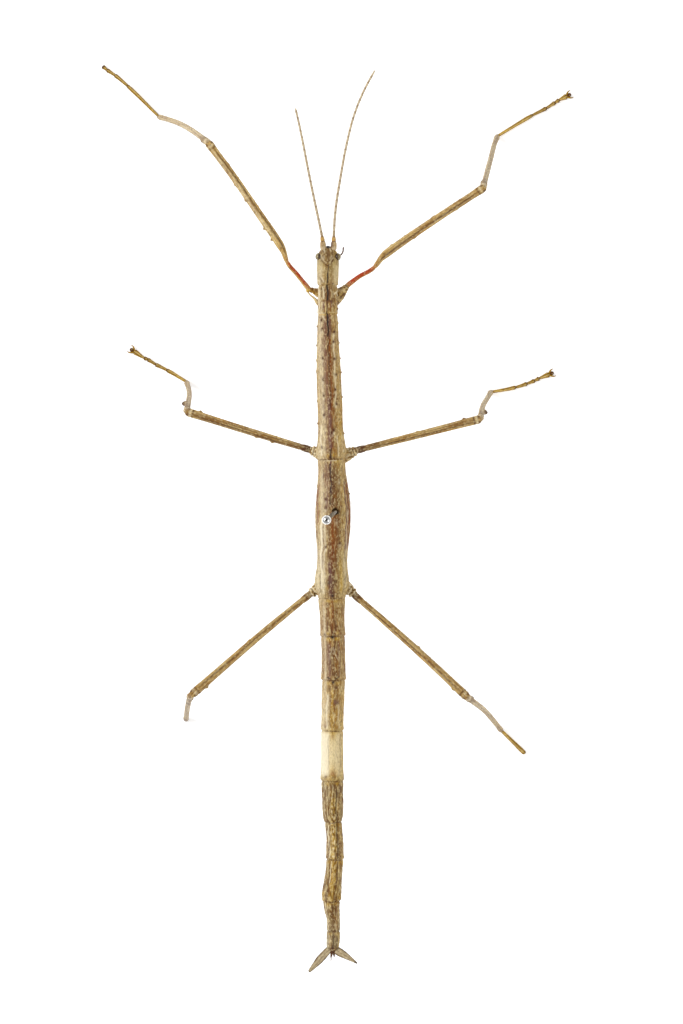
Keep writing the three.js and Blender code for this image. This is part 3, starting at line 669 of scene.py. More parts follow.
def paint_trunk(piece, s, u, turn, places):
    """Painted layers of the trunk: black, dark and plum marks, cream patches, gold edges and rust."""
    on_top = turn < 0.52
    speck = speckle(places, (0.4, 0.2, 0.2), 3)
    streak = speckle(places, (2.6, 0.22, 0.22), 4)
    lumps = grain(places, LUMPS, 5)
    wire = grain(places, WIRES, 6)
    layers = dict.fromkeys(("gold", "rust", "pale", "plum", "dark", "black"), 0)

    def lay(layer, amount):
        layers[layer] = np.maximum(layers[layer], amount)

    sway = u + 0.05 * np.sin(s * 1.7) + 0.03 * np.sin(s * 4.1)
    for layer, strength, width, *points in STRIPES:
        lay(layer, strength * near_line(s, sway, points, width) * on_top * (0.7 + 0.45 * speck))
    for layer, strength, size, place, across in SPOTS:
        away = np.hypot(s - place, u - across)
        lay(layer, strength * bump(away, size) * on_top * (0.5 + 0.8 * speck))

    lay("black", 1.4 * past(PIN_HOLE["radius"], from_pin_hole(s, u), 0.03) * on_top)

    # Olive tubercles with a cream crescent, points along the flanks, dark borders, and painted shade along the
    # lower edges.
    for place, across in TUBERCLES:
        away = np.hypot((s - place) * 0.8, u - across)
        lay("dark", 1.5 * bump(away, 0.14) * (0.5 + 0.8 * speck))
        lay("pale", 0.9 * bump(np.hypot((s - place - 0.35) * 0.6, u - across), 0.15) * (0.2 + speck) * on_top)
    for place, side in FLANK_POINTS:
        lay("dark", bump(from_flank_point(s, turn, place), 0.12) * (np.sign(u) == side))
    for start in list(BORDERS.values())[3:]:
        lay("dark", 0.85 * bump(s - start, 0.08) * (0.2 + speck) * np.clip(1.5 - np.abs(u), 0, 1) * on_top)
        lay("gold", 0.6 * bump(s - start - 0.3, 0.2) * bump(np.abs(u) - 0.55, 0.4) * on_top)
    # Painted shade: dark lines where the flanks turn under.
    lay("dark", 0.55 * bump(turn - 0.5, 0.02) * (0.3 + streak))
    lay("dark", 0.5 * bump(turn - 0.56, 0.04) * (0.3 + streak))
    seams = bump(turn - 0.4, 0.012) + 0.7 * bump(turn - 0.46, 0.012)
    lay("plum", 0.8 * seams * within(s, 28.0, 38.5, 0.6) * (0.3 + streak))

    # The left slope of the thorax is pale and pinkish, the right one tan; part of the pale is painted light.
    slope = within(s, 8.5, 25.5, 0.4)
    lay("pale", 0.6 * slope * bump(u + 0.9, 0.35) * (0.1 + streak))
    lay("plum", 0.55 * slope * (u < 0) * bump(u + 0.6, 0.3) * past(speck, 0.5, 0.05))
    lay("pale", 0.6 * within(s, 27, 36, 0.8) * bump(u + 1.35, 0.25) * (0.1 + streak))
    shoulder = within(s, 36.5, 42.2, 0.8) + 0.7 * within(s, 23.0, 26.0, 0.5)
    # Partly painted light: the pale on the shoulders is stronger on the left, towards the key light.
    lay("pale", 0.65 * shoulder * bump(turn - 0.36, 0.1) * np.where(u < 0, 1, 0.6) * (0.1 + 1.1 * speck))
    lay("plum", 0.6 * within(s, 26.5, 31.8, 0.4) * (u < -0.1) * (u > -1.2) * past(speck, 0.52, 0.05))

    # Segments of the abdomen: a cream one in the middle, a wrinkled golden ridge behind it.
    patch = within(s, *CREAM_SEGMENT, 0.12) * past(1.3, u + 0.25 * speck, 0.1) * (0.75 + 0.3 * speck)
    front_notch = bump(np.hypot((s - 58.6) * 0.35, u - 0.1), 0.35)
    rear_notch = bump(np.hypot((s - 64.1) * 0.45, u - 0.1), 0.45)
    patch *= 1 - front_notch - rear_notch
    left_strip = past(-0.4, u + 0.15 * (streak - 0.5), 0.04)
    lay("pale", patch * (0.62 + 0.4 * left_strip) * (1 - 0.25 * past(u, 0.9, 0.1)))
    lay("gold", 0.35 * within(s, 58.8, 63.8, 0.1) * past(u, -0.42, 0.08))
    lay("pale", 0.7 * within(s, 55.0, 58.4, 0.8) * (u < -0.35) * (0.1 + speck))
    lay("pale", 0.6 * within(s, 43.0, 55.0, 0.5) * bump(u + 1.0, 0.15) * (0.2 + streak))
    ridge_at = u + 0.14 * within(s, 69.5, 74.0, 0.4) - 0.1 * np.sin(s * 5.1)
    on_ridge = past(0.3, np.abs(ridge_at), 0.05)
    behind = within(s, 64.9, 83, 0.3)
    ridge = within(s, 66.0, 75.5, 0.6) * on_ridge
    lay("gold", 0.75 * within(s, 65.5, 79.0, 0.4) * on_ridge * (0.4 + 0.8 * streak))
    lay("pale", 0.7 * ridge * past(lumps, 0.2, 0.04))
    lay("dark", 0.8 * ridge * past(-lumps, 0.22, 0.04))
    lay("dark", 0.6 * behind * past(-wire, 0.16, 0.05) * on_top)
    lay("pale", 0.25 * behind * past(wire, 0.2, 0.05) * on_top)
    lay("dark", 0.7 * within(s, 64.8, 66.2, 0.1) * past(speck, 0.55, 0.04) * on_top)
    lay("pale", 0.45 * within(s, 83.0, 85.0, 0.1) * past(-0.5, u, 0.1) * speck)

    layers["pale"] = layers["pale"] * np.clip(1.5 - 2 * layers["black"], 0, 1)
    for layer, amount in layers.items():
        paint(piece, layer, amount)


# ---------------------------------------------------------------------------------------------------
# Legs: coxa, femur, tibia and tarsus, each a shell of its own that meets the end of the one before

LEGS = {
    "front_left": {
        "coxa": ((-1.3, 25.9, 15.3), (-2.4, 26.45, 15.35), (-3.5, 26.88, 15.3)),
        "femur": ((-3.5, 26.85, 15.3), (-4.89, 28.57, 15.65), (-6.09, 30.0, 16.0), (-6.62, 31.45, 16.29),
                  (-7.41, 32.8, 16.58), (-9.18, 35.36, 17.16), (-12.74, 40.47, 18.32), (-15.54, 44.19, 19.2)),
        "tibia": ((-15.6, 44.25, 19.25), (-17.25, 45.88, 14.21), (-19.18, 47.49, 8.58), (-21.34, 48.8, 2.92),
                  (-22.4, 49.33, 0.3)),
        "tarsus": ((-22.3, 49.25, 0.32), (-26.38, 53.24, 0.27), (-27.94, 54.56, 0.26), (-28.92, 55.22, 0.26),
                   (-29.46, 55.66, 0.26)),
    },
    "front_right": {
        "coxa": ((-0.6, 25.6, 15.3), (0.3, 26.4, 15.35), (1.15, 27.3, 15.3)),
        "femur": ((1.05, 27.25, 15.3), (2.6, 28.39, 15.66), (4.23, 29.33, 16.02), (5.4, 30.72, 16.37),
                  (6.56, 31.62, 16.65), (11.4, 34.9, 17.78), (17.52, 38.82, 19.2)),
        "tibia": ((17.45, 38.83, 19.25), (18.11, 41.07, 13.87), (18.79, 43.34, 8.52), (19.47, 45.66, 3.15),
                  (19.95, 46.9, 0.3)),
        "tarsus": ((19.85, 46.86, 0.32), (24.35, 49.55, 0.27), (26.1, 50.45, 0.26), (27.16, 51.12, 0.26),
                   (27.66, 51.44, 0.26), (28.64, 51.93, 0.28)),
    },
    "middle_left": {
        "coxa": ((-1.0, 6.4, 15.3), (-2.3, 7.0, 15.35), (-3.4, 7.4, 15.3)),
        "femur": ((-3.35, 7.4, 15.3), (-9.91, 9.39, 14.81), (-18.3, 12.02, 14.2)),
        "tibia": ((-18.38, 12.1, 14.25), (-18.34, 13.5, 9.4), (-18.46, 14.78, 4.8), (-18.95, 16.1, 0.3)),
        "tarsus": ((-18.85, 16.1, 0.32), (-21.44, 17.64, 0.27), (-22.82, 18.34, 0.26), (-23.82, 18.95, 0.26),
                   (-24.23, 19.13, 0.26), (-25.54, 19.97, 0.28)),
    },
    "middle_right": {
        "coxa": ((-0.2, 6.4, 15.3), (1.2, 6.9, 15.35), (2.35, 7.36, 15.3)),
        "femur": ((2.25, 7.33, 15.3), (8.69, 8.95, 14.82), (17.2, 11.13, 14.2)),
        "tibia": ((17.3, 11.2, 14.25), (17.78, 12.77, 8.69), (18.69, 14.21, 2.97), (19.15, 14.89, 0.3)),
        "tarsus": ((19.05, 14.85, 0.32), (22.26, 15.48, 0.27), (23.67, 15.93, 0.26), (24.6, 16.31, 0.26),
                   (25.17, 16.58, 0.26), (26.45, 17.1, 0.28)),
    },
    "hind_left": {
        "coxa": ((-1.0, -8.4, 15.3), (-2.3, -9.35, 15.35), (-3.45, -10.15, 15.3)),
        "femur": ((-3.35, -10.07, 15.3), (-8.48, -14.26, 16.57), (-13.06, -18.18, 17.83),
                  (-17.5, -22.05, 19.1)),
        "tibia": ((-17.75, -22.2, 19.15), (-18.38, -23.88, 10.92), (-19.05, -26.13, 0.2)),
        "tarsus": None,
    },
    "hind_right": {
        "coxa": ((-0.3, -8.4, 15.3), (1.0, -9.3, 15.35), (2.1, -10.2, 15.3)),
        "femur": ((1.95, -10.17, 15.3), (6.97, -14.53, 16.56), (11.3, -18.42, 17.83),
                  (15.5, -22.35, 19.1)),
        "tibia": ((15.5, -22.38, 19.15), (16.35, -23.07, 16.19), (17.86, -24.37, 10.79),
                  (19.19, -25.89, 5.45), (20.42, -27.47, 0.3)),
        "tarsus": ((20.35, -27.4, 0.36), (23.37, -30.36, 0.36)),
    },
}
CLAWED = ("front_right", "middle_left", "middle_right")
FRONT = ("front_left", "front_right")

# How deep the tone of a shell is, from 0 to 1.
FEMUR_SHADES = {
    "front_left": 0.0, "front_right": 0.32, "middle_left": 0.75, "middle_right": 0.45,
    "hind_left": 0.4, "hind_right": 0.4,
}
TIBIA_SHADES = {
    "front_left": 0.35, "front_right": 0.5, "middle_left": 0.85, "middle_right": 0.45,
    "hind_left": 0.9, "hind_right": 0.55,
}
COXA_SHADES = {
    "front_left": 0.75, "front_right": 0.5, "middle_left": 0.1, "middle_right": 0.45,
    "hind_left": 0.1, "hind_right": 0.4,
}
TARSUS_SHADE = 0.42

# How much cream a coxa has on its lumps.
COXA_CREAM = {
    "front_left": 0.3, "front_right": 0.35, "middle_left": 0.9, "middle_right": 0.6,
    "hind_left": 0.9, "hind_right": 0.9,
}

# Larger teeth on the femora: (share of the length, side: 1 to the left of the way out, size).
FEMUR_TEETH = {
    "front_left": ((0.355, 1, 1.0), (0.43, 1, 0.9), (0.62, 1, 0.6), (0.725, 1, 0.5), (0.84, -1, 0.3)),
    "front_right": ((0.36, 1, 0.4), (0.5, -1, 0.3), (0.66, 1, 0.3), (0.8, -1, 0.3)),
    "middle_left": ((0.9, -1, 0.7), (0.43, 1, 0.4), (0.3, 1, 0.6)),
    "middle_right": ((0.88, 1, 0.7), (0.5, 1, 0.3)),
    "hind_left": ((0.9, 1, 0.8), (0.5, -1, 0.3)), "hind_right": ((0.9, -1, 0.5), (0.55, 1, 0.4)),
}

# Dark lines along the femora: (turn at the base, turn at the knee, half width, strength).
FEMUR_LINES = {
    "front_left": ((-0.18, -0.07, 0.09, 1.0), (-0.44, -0.44, 0.06, 0.6), (0.43, 0.43, 0.05, 0.6)),
    "front_right": ((-0.12, -0.08, 0.1, 1.0), (-0.36, -0.36, 0.05, 0.5), (0.38, 0.38, 0.06, 0.7)),
    "middle_left": ((0.2, 0.14, 0.09, 0.95), (-0.08, -0.06, 0.05, 0.5), (-0.36, -0.36, 0.05, 0.5)),
    "middle_right": ((-0.15, -0.12, 0.09, 0.9), (0.08, 0.08, 0.05, 0.6), (0.32, 0.3, 0.05, 0.5)),
    "hind_left": ((0.03, -0.07, 0.08, 0.95), (0.28, 0.28, 0.05, 0.6), (-0.32, -0.3, 0.05, 0.6)),
    "hind_right": ((-0.1, -0.04, 0.08, 0.95), (0.22, 0.2, 0.05, 0.7), (-0.34, -0.32, 0.05, 0.6)),
}

# Dark bases of the femora: (strength, share of the length where it ends).
FEMUR_BASES = {
    "front_left": (0, 0.15), "front_right": (0, 0.15), "middle_left": (0.75, 0.15),
    "middle_right": (0.7, 0.24), "hind_left": (0.1, 0.15), "hind_right": (0.4, 0.15),
}
SMALL_TOOTH_GAP = 1.1

# The brace beside the left front coxa, and the little joint that it meets.
STRUT_LINE = ((-3.7, 26.62, 15.2), (-3.4, 26.2, 15.15), (-2.85, 25.75, 15.1), (-2.3, 25.0, 15.1))
STRUT_RINGS = ((-0.1, 0.1, 0.1), (0, 0.2, 0.2), (0.4, 0.18, 0.2), (0.9, 0.2, 0.3), (1.4, 0.36, 0.5),
               (2.0, 0.6, 0.8), (2.2, 0.3, 0.3))
JOINT_LINE = ((-3.75, 26.62, 15.3), (-3.3, 26.95, 15.4))
JOINT_RINGS = ((-0.1, 0.1, 0.1), (-0.02, 0.4, 0.4), (0.2, 0.5, 0.5), (0.45, 0.46, 0.46), (0.6, 0.2, 0.2))

CLAW_RINGS = ((0, 0.1, 0.1), (0.06, 0.22, 0.22), (0.35, 0.22, 0.24), (0.65, 0.17, 0.19), (0.9, 0.1, 0.12),
              (1.1, 0.03, 0.03))
PAD_RINGS = ((-0.05, 0.12, 0.1), (0, 0.32, 0.24), (0.18, 0.5, 0.36), (0.4, 0.56, 0.36), (0.56, 0.36, 0.24),
             (0.62, 0.1, 0.08))

LIMB_SIDES = 12
LIMB_STEP, COXA_STEP, SMALLEST_STEP = 0.6, 0.25, 0.08
COXA_WIDTHS = ((0, 1.9), (0.35, 1.8), (0.55, 1.62), (0.68, 1.45), (0.78, 1.2), (0.86, 1.14), (0.93, 0.98),
               (1, 0.8))
FRONT_COXA_WIDTHS = ((0, 1.85), (0.35, 1.6), (0.6, 1.25), (0.75, 1.0), (0.86, 0.84), (0.93, 0.76), (1, 0.62))
FRONT_FEMUR_WIDTHS = ((0, 0.6), (0.03, 0.64), (0.06, 0.56), (0.19, 0.54), (0.25, 0.76), (0.31, 1.12),
                      (0.45, 1.1), (0.6, 1.06), (0.88, 1.03), (0.97, 1.02), (1, 0.88))
FEMUR_WIDTHS = ((0, 0.82), (0.025, 0.92), (0.06, 0.86), (0.15, 0.9), (0.35, 0.98), (0.6, 1.02), (0.85, 1.09),
                (0.95, 1.12), (1, 0.9))
TIBIA_WIDTHS = ((0, 0.7), (0.03, 0.8), (0.07, 0.78), (0.12, 0.74), (0.35, 0.7), (0.85, 0.66), (0.95, 0.68),
                (1, 0.6))
TOE_WIDTHS = ((0.0, 0.24), (0.06, 0.36), (0.3, 0.38), (0.7, 0.43), (0.9, 0.52), (0.985, 0.36))
LAST_TOE_WIDTHS = ((0.0, 0.24), (0.1, 0.34), (0.45, 0.46), (0.8, 0.68), (0.93, 0.6), (0.99, 0.36))
TOE_DEPTH_RATIO = 0.82

# A limb's rounded ends: (share of the rounding's length, share of the width there).
END_ROUNDING = ((0.4, 0.82), (0.7, 0.5), (0.82, 0.2))


def limb_rings(length, widths, step=LIMB_STEP, rounding=0.35):
    """Rings for a limb of that length, rounded at both ends over a few tenths of a millimetre."""
    stops = [(share * length, wide) for share, wide in widths]
    places = np.linspace(0, length, max(4, round(length / step)) + 1)
    places = np.array(sorted({*places.tolist(), *(at for at, _ in stops)}))
    places = places[np.insert(np.diff(places) > SMALLEST_STEP, 0, True)]
    wides = smooth_curve(stops, places)
    caps = [(away * rounding, share) for away, share in END_ROUNDING]
    front = [(-away, wides[0] * share) for away, share in reversed(caps)]
    back = [(places[-1] + away, wides[-1] * share) for away, share in caps]
    return [(at, wide, wide) for at, wide in (*front, *zip(places, wides), *back)]


def make_coxa(leg, points):
    """A lumpy shell with sunk rings near its end. The left front one is slender and has a brace beside it."""
    length = length_of(points)
    front, slender = leg in FRONT, leg == "front_left"
    fullness = 0.75 if slender else 1.0
    widths = [(share, wide * fullness) for share, wide in (FRONT_COXA_WIDTHS if front else COXA_WIDTHS)]
    rings = limb_rings(length, widths, COXA_STEP, rounding=0.2)
    piece, places, turn = start_shell(f"coxa_{leg}", rings, LIMB_SIDES)
    share, around = places[0] / length, np.abs(turn)
    lumps = grain(places, (0.3, 0.26, 0.26), 11)
    height = 0.05 * bump(share - 0.86, 0.04) - 0.08 * bump(share - 0.79, 0.025)
    height -= 0.06 * bump(share - 0.66, 0.03)
    height -= 0.06 * bump(share - 0.94, 0.02)
    height += 0.06 * bump(around - 0.3, 0.07) * (share < 0.8) + 0.07 * lumps
    push_out(piece, height * (0.5 if front else 1.0))

    speck = speckle(places, (0.3, 0.25, 0.25), 12)
    grooves = 0.9 * bump(share - 0.94, 0.03)
    if not front:
        grooves = 0.9 * bump(share - 0.79, 0.022) + 0.7 * bump(share - 0.66, 0.025) + grooves
    blotches = 1.1 * past(0.2, np.abs(turn + 0.12), 0.1) * past(speck, 0.32, 0.08) * slender
    below = 0.75 * past(around, 0.42, 0.04)
    paint_shell(
        piece,
        shade=COXA_SHADES[leg],
        dark=strongest(grooves * (0.4 + speck), 0.8 * past(-lumps, 0.2, 0.05), blotches, below * speck),
        pale=COXA_CREAM[leg] * past(lumps, -0.02, 0.05),
        gold=(1.0 if slender else 0.6) * (0.2 + speck),
        rust=0.05 * slender,
    )
    lay_along(piece, points)
    if not slender:
        return piece
    strut = small_limb("strut", STRUT_RINGS, STRUT_LINE, gold=0.4, pale=0.65)
    joint = small_limb("joint", JOINT_RINGS, JOINT_LINE, gold=0.9, pale=0.2)
    return join([piece, strut, joint], f"coxa_{leg}")


def make_femur(leg, points):
    """A four-keeled shell with a knee end, small teeth along the keels and dark grooves between them."""
    length = length_of(points)
    front, hind = leg in FRONT, leg.startswith("hind")
    rings = limb_rings(length, FRONT_FEMUR_WIDTHS if front else FEMUR_WIDTHS)
    piece, places, turn = start_shell(f"femur_{leg}", rings, LIMB_SIDES)
    s = places[0]
    share, around = s / length, np.abs(turn)
    shaft = within(share, 0.24 if front else 0.08, 0.95, 0.02)
    height = -0.035 * shaft + 0.09 * bump(around - 0.26, 0.05) * shaft
    height += 0.07 * bump(around - 0.74, 0.06) * shaft
    height -= 0.05 * bump(around - 0.5, 0.08) * shaft
    for at_base, at_knee, width, strength in FEMUR_LINES[leg]:
        height -= 0.07 * strength * bump(turn - at_base - (at_knee - at_base) * share, width) * shaft
    for index in range(round(length / SMALL_TOOTH_GAP)):
        tooth_at = 0.28 + 0.66 * ((index * 0.618) % 1)
        side = 1 if index % 2 else -1
        away = np.hypot(s - tooth_at * length, (turn - side * 0.27) * 1.5)
        height += (0.08 if index % 3 == 0 else 0.04) * bump(away, 0.1) * shaft
    teeth = 0 * s
    for tooth_at, side, size in FEMUR_TEETH[leg]:
        away = np.hypot(s - tooth_at * length, (turn - side * 0.42) * 1.3)
        teeth = np.maximum(teeth, size * bump(away, 0.24 - 0.07 * size))
    height += 0.3 * teeth
    knee = bump(share - 0.985, 0.02)
    height += 0.06 * bump(around - 0.5, 0.16) * knee
    height -= 0.1 * bump(turn, 0.12) * knee
    height -= 0.05 * bump(s - (length - 0.55), 0.06)
    height -= 0.05 * bump(share - (0.2 if front else 0.075), 0.008)
    height += 0.014 * grain(places, (1.2, 0.22, 0.22), 13) + 0.01 * grain(places, (0.25, 0.14, 0.14), 14)
    push_out(piece, height)

    streak = speckle(places, (3.0, 0.16, 0.16), 15)
    speck = speckle(places, (0.35, 0.2, 0.2), 16)
    lines = []
    for at_base, at_knee, width, strength in FEMUR_LINES[leg]:
        line = bump(turn - at_base - (at_knee - at_base) * share + 0.012 * np.sin(s * 0.9 + at_base), width)
        lines.append(strength * line * shaft * (0.55 + 0.6 * streak))
    before_knee = within(share, 0.82, 0.97, 0.05)
    base_strength, base_end = FEMUR_BASES[leg]
    base = base_strength * past(base_end, share, 0.03)
    base += 0.6 * past(0.05, share, 0.01) * (not front)
    dark = strongest(
        0.45 * bump(around - 0.49, 0.04) * shaft * (0.4 + streak),
        *lines,
        teeth,
        1.1 * bump(np.hypot(s - length + 0.08, (around - 0.3) * 1.5), 0.2),
        1.1 * bump(s - (length - 0.72), 0.13) * (0.4 + 0.8 * speck),
        0.6 * before_knee * bump(np.abs(turn - 0.05) - 0.12, 0.05) * (0.3 + streak),
        0.6 * (speck > 0.64) * speck,
        base * (0.5 + 0.7 * speck),
        0.95 * bump(s - 0.75, 0.09) * (not front),
    )
    knee_ring = 0.8 * bump(s - (length - 0.45), 0.08)
    bright = 0.35 if leg == "front_right" else 0.25
    pale = strongest(
        bump(s - (length - 0.38), 0.15) * past(speck, 0.38, 0.08),
        0.8 * bump(s - 0.4, 0.1) * hind,
        bright * bump(np.abs(turn - 0.02) - 0.2, 0.05) * shaft * (0.2 + streak),
    )
    if leg == "front_left":
        stripe = bump(turn - 0.15, 0.11) * past(share, 0.36, 0.05) * shaft
        pale = strongest(pale, 0.75 * stripe * (0.5 + 0.6 * streak))
    red = within(share, 0.012, 0.2, 0.012) * (0.75 + 0.3 * streak) * front
    lower = past(turn, 0.12, 0.02) if leg == "front_left" else past(-turn, 0.26, 0.03)
    paint_shell(
        piece,
        shade=FEMUR_SHADES[leg],
        dark=dark,
        pale=pale,
        gold=strongest(0.55 * bump(around - 0.3, 0.12) * (0.3 + streak), knee_ring),
        rust=red * (1 - 0.95 * lower),
    )
    lay_along(piece, points)
    return piece


def make_tibia(leg, points):
    """A thin keeled shell with a neck below the knee and one tooth, a large one on the middle legs."""
    length = length_of(points)
    middle = leg.startswith("middle")
    rings = limb_rings(length, TIBIA_WIDTHS, rounding=0.34 if LEGS[leg]["tarsus"] else 0.2)
    piece, places, turn = start_shell(f"tibia_{leg}", rings, LIMB_SIDES)
    s = places[0]
    share, around = s / length, np.abs(turn)
    shaft = within(share, 0.1, 0.95, 0.02)
    height = -0.02 * shaft + 0.045 * bump(around - 0.26, 0.07) * shaft
    height += 0.04 * bump(around - 0.75, 0.07) * shaft - 0.03 * bump(turn, 0.08) * shaft
    height += 0.05 * bump(around - 0.5, 0.14) * bump(s - 0.3, 0.35)
    height -= 0.07 * bump(s - 0.95, 0.12)
    height += 0.07 * bump(s - 1.35, 0.2) * bump(around - 0.6, 0.2)
    outer = -0.5 if leg == "middle_right" else 0.5
    tooth_at = 0.25 * length if middle else 1.9
    tooth_height, tooth_radius, half_girth = (0.45, 0.24, 1.1) if middle else (0.12, 0.22, 1.2)
    height += tooth_height * bump(np.hypot(s - tooth_at, (turn - outer) * half_girth), tooth_radius)
    height += 0.03 * bump(share - 0.97, 0.02) * (around > 0.4)
    height += 0.012 * grain(places, (1.2, 0.2, 0.2), 17)
    push_out(piece, height)

    streak = speckle(places, (3.0, 0.15, 0.15), 18)
    speck = speckle(places, (0.3, 0.2, 0.2), 19)
    thin_lines = bump(turn - 0.06, 0.03) + bump(turn + 0.22, 0.03)
    dark = strongest(
        0.4 * thin_lines * shaft * (0.2 + streak) + 0.3 * (speck > 0.72),
        0.6 * bump(around - 0.46, 0.07) * shaft * (0.4 + streak),
        0.95 * bump(np.hypot(s - 0.3, (around - 0.5) * 1.5), 0.14),
        0.7 * bump(share - 1.0, 0.02),
        0.5 * within(s, 0.8, 2.2, 0.2) * (0.3 + speck),
        0.9 * bump(np.hypot(s - 0.28, turn * 1.2), 0.15) * middle,
        bump(np.hypot(s - tooth_at, (turn - outer) * 1.1), 0.38),
    )
    if leg == "hind_left":
        band, cut_end = bump(share - 0.24, 0.035), past(share, 0.93, 0.03)
        dark = strongest(dark, 0.75 * band * (0.4 + speck) + 0.6 * cut_end)
    paint_shell(
        piece,
        shade=TIBIA_SHADES[leg],
        dark=dark,
        pale=0.9 * bump(s - 0.35, 0.3) * speck + 0.35 * streak * shaft,
        gold=0.4 * bump(around - 0.3, 0.1) * streak,
    )
    lay_along(piece, points)
    return piece


def make_tarsus(leg, points):
    """Toe joints in a row, each narrow where it starts and swollen at its end, with claws on the last."""
    length = length_of(points)
    starts = [length_of(points[: i + 1]) for i in range(len(points))]
    rings = [(-0.3, 0.12, 0.1), (-0.22, 0.3, 0.26)]
    swell = 1.15 if leg == "hind_right" else 1.0
    for first, last in zip(starts, starts[1:]):
        for share, wide in LAST_TOE_WIDTHS if leg in CLAWED and last == length else TOE_WIDTHS:
            rings.append((first + share * (last - first), wide * swell, wide * swell * TOE_DEPTH_RATIO))
    rings += [(length, 0.36, 0.3), (length + 0.08, 0.15, 0.12)]
    piece, places, turn = start_shell(f"tarsus_{leg}", rings, LIMB_SIDES)
    s, around = places[0], np.abs(turn)
    ends = strongest(*(bump(s - end + 0.12, 0.16) for end in starts[1:]))
    height = 0.04 * ends * bump(around - 0.45, 0.2) + 0.03 * bump(turn, 0.08)
    height -= 0.02 * bump(around - 0.2, 0.06)
    push_out(piece, height + 0.012 * grain(places, (0.5, 0.15, 0.15), 20))

    streak = speckle(places, (2.4, 0.13, 0.13), 21)
    dark = strongest(
        0.8 * bump(around - 0.42, 0.1) * (0.5 + streak),
        *(bump(s - at, 0.1) for at in starts[1:-1]),
        0.95 * bump(turn - 0.14, 0.1) * (0.2 + 1.2 * streak) * (s > 0.2 * length),
    )
    if leg == "front_left":
        side_lines = bump(turn + 0.26, 0.08) + bump(turn - 0.3, 0.08)
        dark = strongest(dark, 1.1 * past(s, length - 0.2, 0.06), 0.8 * side_lines * (0.3 + streak))
        dark *= 1 - 0.8 * bump(turn - 0.04, 0.07) * past(length - 0.3, s, 0.1)
    else:
        dark = strongest(dark, 0.55 * within(s, 0.45 * length, 0.8 * length, 0.3) * (0.3 + streak))
    paint_shell(
        piece,
        shade=TARSUS_SHADE,
        dark=strongest(dark, 0.85 * ends * past(around, 0.12, 0.05)),
        pale=0.5 * (0.3 + streak) * bump(turn + 0.08, 0.12),
        gold=0.85 * (0.2 + streak),
    )
    lay_along(piece, points)
    if leg not in CLAWED:
        return piece
    tip = Vector(points[-1])
    forward = (tip - Vector(points[-2])).normalized()
    left, up = Vector((-forward.y, forward.x, 0)), Vector((0, 0, 1))
    base = tip - 0.08 * forward
    parts = [piece]
    for side in (-1, 1):
        hook = [
            base + 0.06 * side * left,
            base + 0.28 * forward + 0.3 * side * left + 0.1 * up,
            base + 0.55 * forward + 0.46 * side * left + 0.04 * up,
            base + 0.78 * forward + 0.46 * side * left - 0.1 * up,
        ]
        parts.append(small_limb("claw", CLAW_RINGS, hook, 8, 1, shade=0.6, gold=0.5, dark=0.25))
    parts.append(small_limb("pad", PAD_RINGS, [tip, tip + 0.66 * forward], shade=1.0, dark=1.0))
    return join(parts, f"tarsus_{leg}")


# ---------------------------------------------------------------------------------------------------
# Eyes, mouthparts, feelers, tail pieces and the pin

EYES = {"eye_bead_left": (-2.33, 30.72, 16.74, -1), "eye_bead_right": (-0.04, 30.7, 16.74, 1)}
EYE_SIZES = (0.4, 0.45, 0.4)
MOUTH_LINE = ((-1.2, 30.3, 15.45), (-1.2, 31.9, 15.3))
MOUTH_RINGS = ((-0.05, 0.3, 0.3), (0, 0.8, 0.6), (0.4, 1.4, 0.95), (1.0, 1.5, 1.05), (1.4, 1.2, 0.85),
               (1.6, 0.75, 0.5), (1.68, 0.3, 0.2))
PALP_WIDTHS = ((0.3, 0.21), (0.34, 0.15), (0.6, 0.21), (0.64, 0.15), (0.95, 0.21))
PALP_LINE = ((-0.2, 31.0, 15.75), (0.28, 30.95, 15.95), (0.56, 31.25, 16.15), (0.66, 31.92, 16.4))
FEELERS = {
    "feeler_left": ((-1.78, 31.55, 16.85), (-1.84, 32.58, 17.08), (-2.1, 34.0, 17.4), (-2.86, 37.54, 18.15),
                    (-3.59, 41.08, 18.95), (-4.28, 44.6, 19.75), (-4.89, 47.41, 20.35), (-5.1, 48.25, 20.55)),
    "feeler_right": ((-0.5, 31.55, 16.85), (-0.5, 32.57, 17.11), (-0.49, 33.3, 17.29), (-0.29, 36.23, 18.07),
                     (0.12, 38.99, 18.79), (1.46, 45.71, 20.59), (2.14, 47.91, 21.2), (2.85, 49.63, 21.75),
                     (3.42, 50.78, 22.1), (4.42, 52.55, 22.6)),
}
FEELER_BASE = ((-0.15, 0.3), (0, 0.64), (0.25, 0.74), (0.8, 0.7), (0.95, 0.6), (1.02, 0.46), (1.1, 0.52),
               (1.35, 0.52), (1.6, 0.38), (1.68, 0.32))

# The many thin joints: how long the first and the rest are, and rings (share of a joint, share of its width).
FIRST_JOINT, FEELER_JOINT = 0.55, 0.78
FEELER_JOINT_RINGS = ((0.12, 0.84), (0.82, 1.0), (0.97, 0.86))
FEELER_WIDTH, FEELER_TAPER = 0.35, 0.06
THIN_JOINTS_FROM = 1.9

CERCI = {
    "tail_leaf_left": ((-0.85, -52.85, 15.9), (-1.55, -53.6, 15.88), (-2.4, -54.55, 15.85),
                       (-3.4, -55.68, 15.8)),
    "tail_leaf_right": ((-0.5, -52.95, 15.9), (0.0, -53.3, 15.92), (1.1, -53.95, 15.95),
                        (2.05, -54.58, 15.98)),
}
RIGHT_LEAF_TIP = (2.36, -54.8, 16.0)
LEAF_WIDTHS = {
    "tail_leaf_left": ((0, 0.7), (0.2, 0.85), (0.5, 0.92), (0.7, 0.72), (0.88, 0.46), (1, 0.3)),
    "tail_leaf_right": ((0, 0.8), (0.25, 1.0), (0.5, 0.82), (0.75, 0.52), (0.92, 0.28), (1, 0.2)),
}
LEAF_THICKNESS = 0.36

